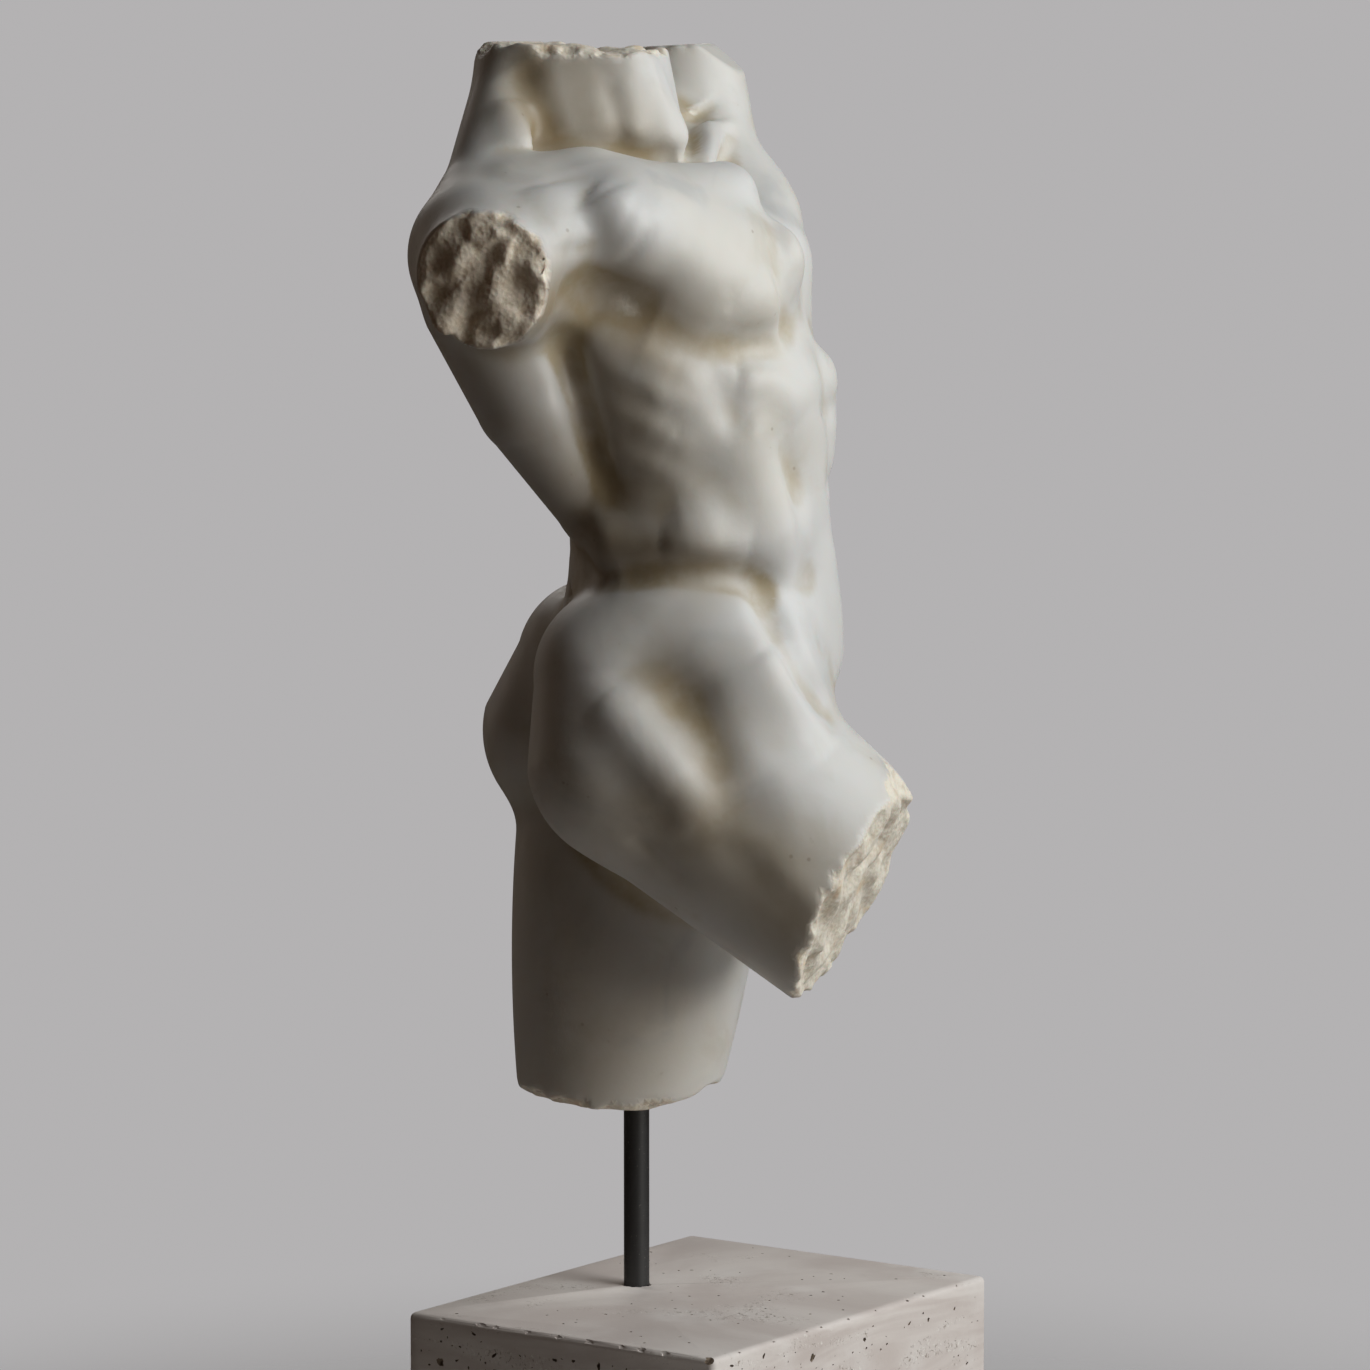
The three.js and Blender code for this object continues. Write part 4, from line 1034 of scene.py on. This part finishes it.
# %% [markdown]
# Stone and steel by nodes
#
# Every finish is a small network of procedural nodes. They read Object coordinates, which are
# metres in the shared frame, so a pattern has its true size and runs through the piece as it
# does in real stone. The helpers keep the networks short: one adds a node and feeds its
# sockets, others blend, stretch, add and multiply, and the last one closes a network.

# %% Helpers for materials
def new_material(name, **constants):
    material = bpy.data.materials.new(name)
    material.use_nodes = True
    shader = material.node_tree.nodes["Principled BSDF"]
    for socket, value in constants.items():
        shader.inputs[socket.replace("_", " ")].default_value = value
    return material, material.node_tree, shader


def feed(socket, value):
    """Links a socket to another one, or sets it to a constant."""
    if isinstance(value, bpy.types.NodeSocket):
        socket.id_data.links.new(value, socket)
    else:
        socket.default_value = (*value, 1) if socket.type == "RGBA" else value


def add(tree, kind, settings=None, **sockets):
    node = tree.nodes.new("ShaderNode" + kind)
    for name, value in (settings or {}).items():
        setattr(node, name, value)
    for name, value in sockets.items():
        feed(node.inputs[name.replace("_", " ")], value)
    return node


def blend(share, first, second):
    """Colour between first and second by share, a socket."""
    node = add(share.id_data, "Mix", {"data_type": "RGBA"})
    for index, value in ((0, share), (6, first), (7, second)):
        feed(node.inputs[index], value)
    return node.outputs[2]


def spread(value, low, high, to_low=0, to_high=1):
    """Value mapped from low..high, held at the ends."""
    return add(value.id_data, "MapRange", {"interpolation_type": "SMOOTHSTEP"}, Value=value,
               From_Min=low, From_Max=high, To_Min=to_low, To_Max=to_high).outputs["Result"]


def reckon(operation, first, second):
    node = add(first.id_data, "Math", {"operation": operation})
    feed(node.inputs[0], first)
    feed(node.inputs[1], second)
    return node.outputs[0]


def times(first, second):
    return reckon("MULTIPLY", first, second)


def plus(first, second):
    return reckon("ADD", first, second)


def number_kept(tree, name):
    return add(tree, "Attribute", {"attribute_name": name}).outputs["Fac"]


def noise_of(where, scale, detail=4.0, roughness=0.55, distortion=0.0):
    return add(where.id_data, "TexNoise", Vector=where, Scale=scale, Detail=detail,
               Roughness=roughness, Distortion=distortion).outputs["Fac"]


def object_place(tree):
    return add(tree, "TexCoord").outputs["Object"]


def finish(shader, colour, roughness, height, strength, distance):
    """Closes a network: its colour, its roughness, and a bump as high as distance."""
    bump = add(shader.id_data, "Bump", Strength=strength, Distance=distance, Height=height)
    feed(shader.inputs["Base Color"], colour)
    feed(shader.inputs["Roughness"], roughness)
    feed(shader.inputs["Normal"], bump.outputs["Normal"])


def coat(piece, *materials):
    piece.data.materials.clear()
    for material in materials:
        piece.data.materials.append(material)


# %% [markdown]
# Marble
#
# The skin was polished once and has weathered to a satin. Its white is warm, with cooler and
# browner clouds, a few faint grey smudges and small rusty specks. Ochre earth sits in the folds
# and darkens them further as painted shade, and a brown painted shade lies on the places in shade.
# Where the stone is broken it is rough, cream on the thigh and brown with old dirt on the arm.
# One material holds all of it, blended by the numbers kept above, so that the change follows the
# rim.

# %% Marble material
marble, tree, shader = new_material("antique_marble", Subsurface_Weight=0.1, Subsurface_Scale=0.006,
                                    Specular_IOR_Level=0.55)
where = object_place(tree)
hollow = number_kept(tree, "hollow")
broken = number_kept(tree, "broken")

clouds = noise_of(where, 7, detail=5)
patches = noise_of(where, 26, detail=6, distortion=0.6)
colour = blend(spread(clouds, 0.35, 0.65), (0.63, 0.615, 0.59), (0.64, 0.605, 0.54))
colour = blend(spread(patches, 0.5, 0.8, 0, 0.45), colour, (0.50, 0.45, 0.36))

smudges = noise_of(where, 13, detail=4, roughness=0.5, distortion=0.9)
colour = blend(spread(smudges, 0.58, 0.74, 0, 0.4), colour, (0.42, 0.43, 0.43))

# Ochre earth in the folds, partly the stone's own patina and partly painted shade
earth_and_shade = times(hollow, spread(noise_of(where, 22, detail=5), 0.35, 0.62, 0.3, 1))
colour = blend(times(earth_and_shade, 0.85), colour, (0.38, 0.295, 0.16))

# Painted shade: a dark brown colour laid on the places that lie in shade
painted_shade = number_kept(tree, "painted_shade")
painted_shade_share = times(painted_shade, spread(noise_of(where, 17, detail=6), 0.3, 0.65, 0.6, 1))
colour = blend(times(painted_shade_share, 0.9), colour, (0.27, 0.20, 0.11))

specks = add(tree, "TexVoronoi", Vector=where, Scale=95, Randomness=1).outputs["Distance"]
speck_share = times(spread(specks, 0.06, 0.16, 1, 0), spread(patches, 0.58, 0.63))
colour = blend(times(speck_share, 0.4), colour, (0.22, 0.15, 0.09))

crumbs = noise_of(where, 140, detail=8, roughness=0.62)
fresh = blend(spread(crumbs, 0.32, 0.55), (0.60, 0.52, 0.41), (0.72, 0.665, 0.56))
dirty = blend(spread(crumbs, 0.35, 0.62), (0.62, 0.51, 0.38), (0.85, 0.75, 0.61))
dirty = blend(spread(noise_of(where, 30, detail=4), 0.48, 0.7), dirty,
              (0.82, 0.74, 0.61))
iron = spread(noise_of(where, 42, detail=5, distortion=0.5), 0.56, 0.7, 0, 0.5)
fresh = blend(iron, fresh, (0.60, 0.40, 0.20))
weathered = number_kept(tree, "weathered")
colour = blend(broken, colour, blend(weathered, fresh, dirty))

satin = spread(noise_of(where, 55, detail=5), 0.3, 0.7, 0.42, 0.54)
roughness = plus(times(broken, 0.32), satin)

grain = noise_of(where, 420, detail=5)
toolmarks = noise_of(where, 70, detail=3)
skin = plus(times(grain, 0.05), times(toolmarks, 0.25))
crystals = add(tree, "TexVoronoi", {"feature": "SMOOTH_F1"}, Vector=where, Scale=300,
               Smoothness=0.4).outputs["Distance"]
rough = plus(times(crystals, 0.8), times(crumbs, 1.1))
height = plus(skin, times(rough, broken))
finish(shader, colour, roughness, height, strength=0.5, distance=1.2 * MM)
coat(torso, marble)
print("marble has", len(tree.nodes), "nodes")

# %% [markdown]
# Travertine
#
# Honed travertine is warm grey-beige with faint level bands, lighter fills and a chalky matt
# face. The cavities have a finish of their own, a dark brown that is old dirt and painted shade,
# and a Boolean cuts them with the cutter's material, so that every hole comes out dark inside.

# %% Travertine materials
travertine, tree, shader = new_material("honed_travertine", Specular_IOR_Level=0.35)
where = object_place(tree)
level = add(tree, "Mapping", Vector=where, Scale=(0.6, 0.6, 4)).outputs["Vector"]
bands = noise_of(level, 11, detail=6, distortion=0.8)
clouds = noise_of(where, 18, detail=6)
colour = blend(spread(bands, 0.35, 0.65), (0.55, 0.48, 0.44), (0.67, 0.61, 0.565))
colour = blend(spread(clouds, 0.5, 0.75, 0, 0.5), colour, (0.74, 0.70, 0.66))
clusters = spread(noise_of(level, 24, detail=4, distortion=0.5), 0.53, 0.64)
worms = noise_of(where, 330, detail=3, distortion=1.2)
ticks = times(spread(worms, 0.60, 0.66), clusters)
fills = times(spread(worms, 0.34, 0.42, 1, 0), clusters)
colour = blend(times(ticks, 0.75), colour, (0.24, 0.19, 0.14))
colour = blend(times(fills, 0.6), colour, (0.80, 0.77, 0.71))
pitted = plus(times(ticks, -1.0), times(fills, 0.25))
height = plus(times(noise_of(where, 300, detail=6), 0.3), pitted)
finish(shader, colour, spread(clouds, 0.3, 0.7, 0.5, 0.7), height, strength=0.6,
       distance=0.6 * MM)

# Painted shade with old dirt: the insides of the cavities are coloured dark
cavity, tree, shader = new_material("travertine_cavity", Specular_IOR_Level=0.2)
where = object_place(tree)
dirt_and_shade = noise_of(where, 380, detail=6)
colour = blend(spread(dirt_and_shade, 0.35, 0.7), (0.10, 0.07, 0.05), (0.34, 0.27, 0.20))
finish(shader, colour, 0.95, dirt_and_shade, strength=0.8, distance=0.8 * MM)

FLAT_FACE = 0.999
coat(block, travertine, cavity)
for cutter, stone in ((cavities, cavity), (knocks, travertine)):
    coat(cutter, stone)
    combine(block, cutter, "DIFFERENCE", material_mode="TRANSFER")
block.data.shade_smooth()
for polygon in block.data.polygons:
    if max(abs(share) for share in polygon.normal) > FLAT_FACE:
        polygon.use_smooth = False
block.data.set_sharp_from_angle(angle=math.radians(35))
print("block has", triangles_in(block), "triangles,", [slot.name for slot in block.material_slots])

# %% [markdown]
# Black steel
#
# Satin black paint over turned steel: nearly black, with a broad soft highlight, faint rings
# from the lathe and a few dust specks.

# %% Steel material
steel, tree, shader = new_material("satin_black_steel", Specular_IOR_Level=0.65, Metallic=0.0)
where = object_place(tree)
rings = noise_of(add(tree, "Mapping", Vector=where, Scale=(1, 1, 40)).outputs["Vector"], 30)
dust = noise_of(where, 700, detail=2)
colour = blend(spread(dust, 0.68, 0.74), (0.012, 0.0115, 0.011), (0.10, 0.09, 0.08))
roughness = spread(rings, 0.3, 0.7, 0.42, 0.56)
finish(shader, colour, roughness, rings, strength=0.15, distance=0.2 * MM)
coat(rod, steel)

# %% [markdown]
# Floor and light
#
# A plain pale floor fades into an even grey. A large soft light stands high on the right, as a
# window does, and a second one carries on behind it. A low panel reaches the legs. What reaches
# the shaded side is faint and warm, and two weak lights from behind draw the edges.

# %% Floor
FLOOR_RADIUS = 1.2
bm = bmesh.new()
bmesh.ops.create_circle(bm, cap_ends=True, segments=96, radius=FLOOR_RADIUS)
floor = piece_from(bm, "floor")
pale, tree, shader = new_material("pale_floor", Base_Color=(0.48, 0.47, 0.46, 1), Roughness=0.8)
away = add(tree, "VectorMath", {"operation": "LENGTH"}, Vector=object_place(tree)).outputs["Value"]
faded = add(tree, "MixShader", Fac=spread(away, 0.25, 1.0))
feed(faded.inputs[1], shader.outputs["BSDF"])
feed(faded.inputs[2], add(tree, "BsdfTransparent").outputs["BSDF"])
feed(tree.nodes["Material Output"].inputs["Surface"], faded.outputs["Shader"])
coat(floor, pale)

# %% Lights
def soft_light(name, place, target, width, height, power, colour):
    """A softbox. Place and target are seen from the camera, in metres from the rod's foot."""
    light = bpy.data.lights.new(name, "AREA")
    light.shape = "RECTANGLE"
    light.size, light.size_y, light.energy, light.color = width, height, power, colour
    lamp = linked(name, light)
    turn = Matrix.Translation((rod_x, 0, 0)) @ Matrix.Rotation(TORSO_TURN, 4, "Z")
    lamp.location = turn @ Vector(place)
    aim = turn @ Vector(target) - lamp.location
    lamp.rotation_euler = aim.to_track_quat("-Z", "Y").to_euler()


soft_light("window", (2.1, -1.15, 1.95), (0, 0, 0.6), 1.5, 2.2, 57, (0.905, 0.96, 1.0))
soft_light("window behind", (2.3, 0.5, 1.8), (0, 0, 0.6), 1.4, 1.6, 18, (0.905, 0.96, 1.0))
soft_light("low panel", (1.9, -1.6, 0.75), (0, 0, 0.4), 1.0, 0.7, 12, (1.0, 0.94, 0.85))
soft_light("edge light", (-1.7, 1.5, 1.0), (0, 0, 0.6), 1.0, 1.6, 1.5, (1.0, 0.86, 0.74))
soft_light("back panel", (-0.5, 2.2, 1.9), (0, 0, 0.5), 1.6, 1.0, 11, (1.0, 0.96, 0.92))

WALL_GREY = (0.455, 0.445, 0.45, 1)
world = bpy.data.worlds.new("studio")
bpy.context.scene.world = world
world.use_nodes = True
tree = world.node_tree
seen = tree.nodes["Background"]
seen.inputs["Color"].default_value = WALL_GREY
seen.inputs["Strength"].default_value = 1
fill = add(tree, "Background", Color=(1.0, 0.70, 0.50), Strength=0.03)
either = add(tree, "MixShader", Fac=add(tree, "LightPath").outputs["Is Camera Ray"])
feed(either.inputs[1], fill.outputs["Background"])
feed(either.inputs[2], seen.outputs["Background"])
feed(tree.nodes["World Output"].inputs["Surface"], either.outputs["Shader"])
bpy.context.scene.view_settings.view_transform = "Standard"

# %% [markdown]
# The pieces on their body
#
# Each piece rides on the one body, and the imported node it stands for is hidden.

# %% Pieces on their body
for piece, node_name, slot_name in (
    (torso, "marble_torso", "marble"),
    (block, "travertine_plinth", "travertine"),
    (rod, "steel_rod", "rod"),
):
    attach(piece, "root")
    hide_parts(node_name)
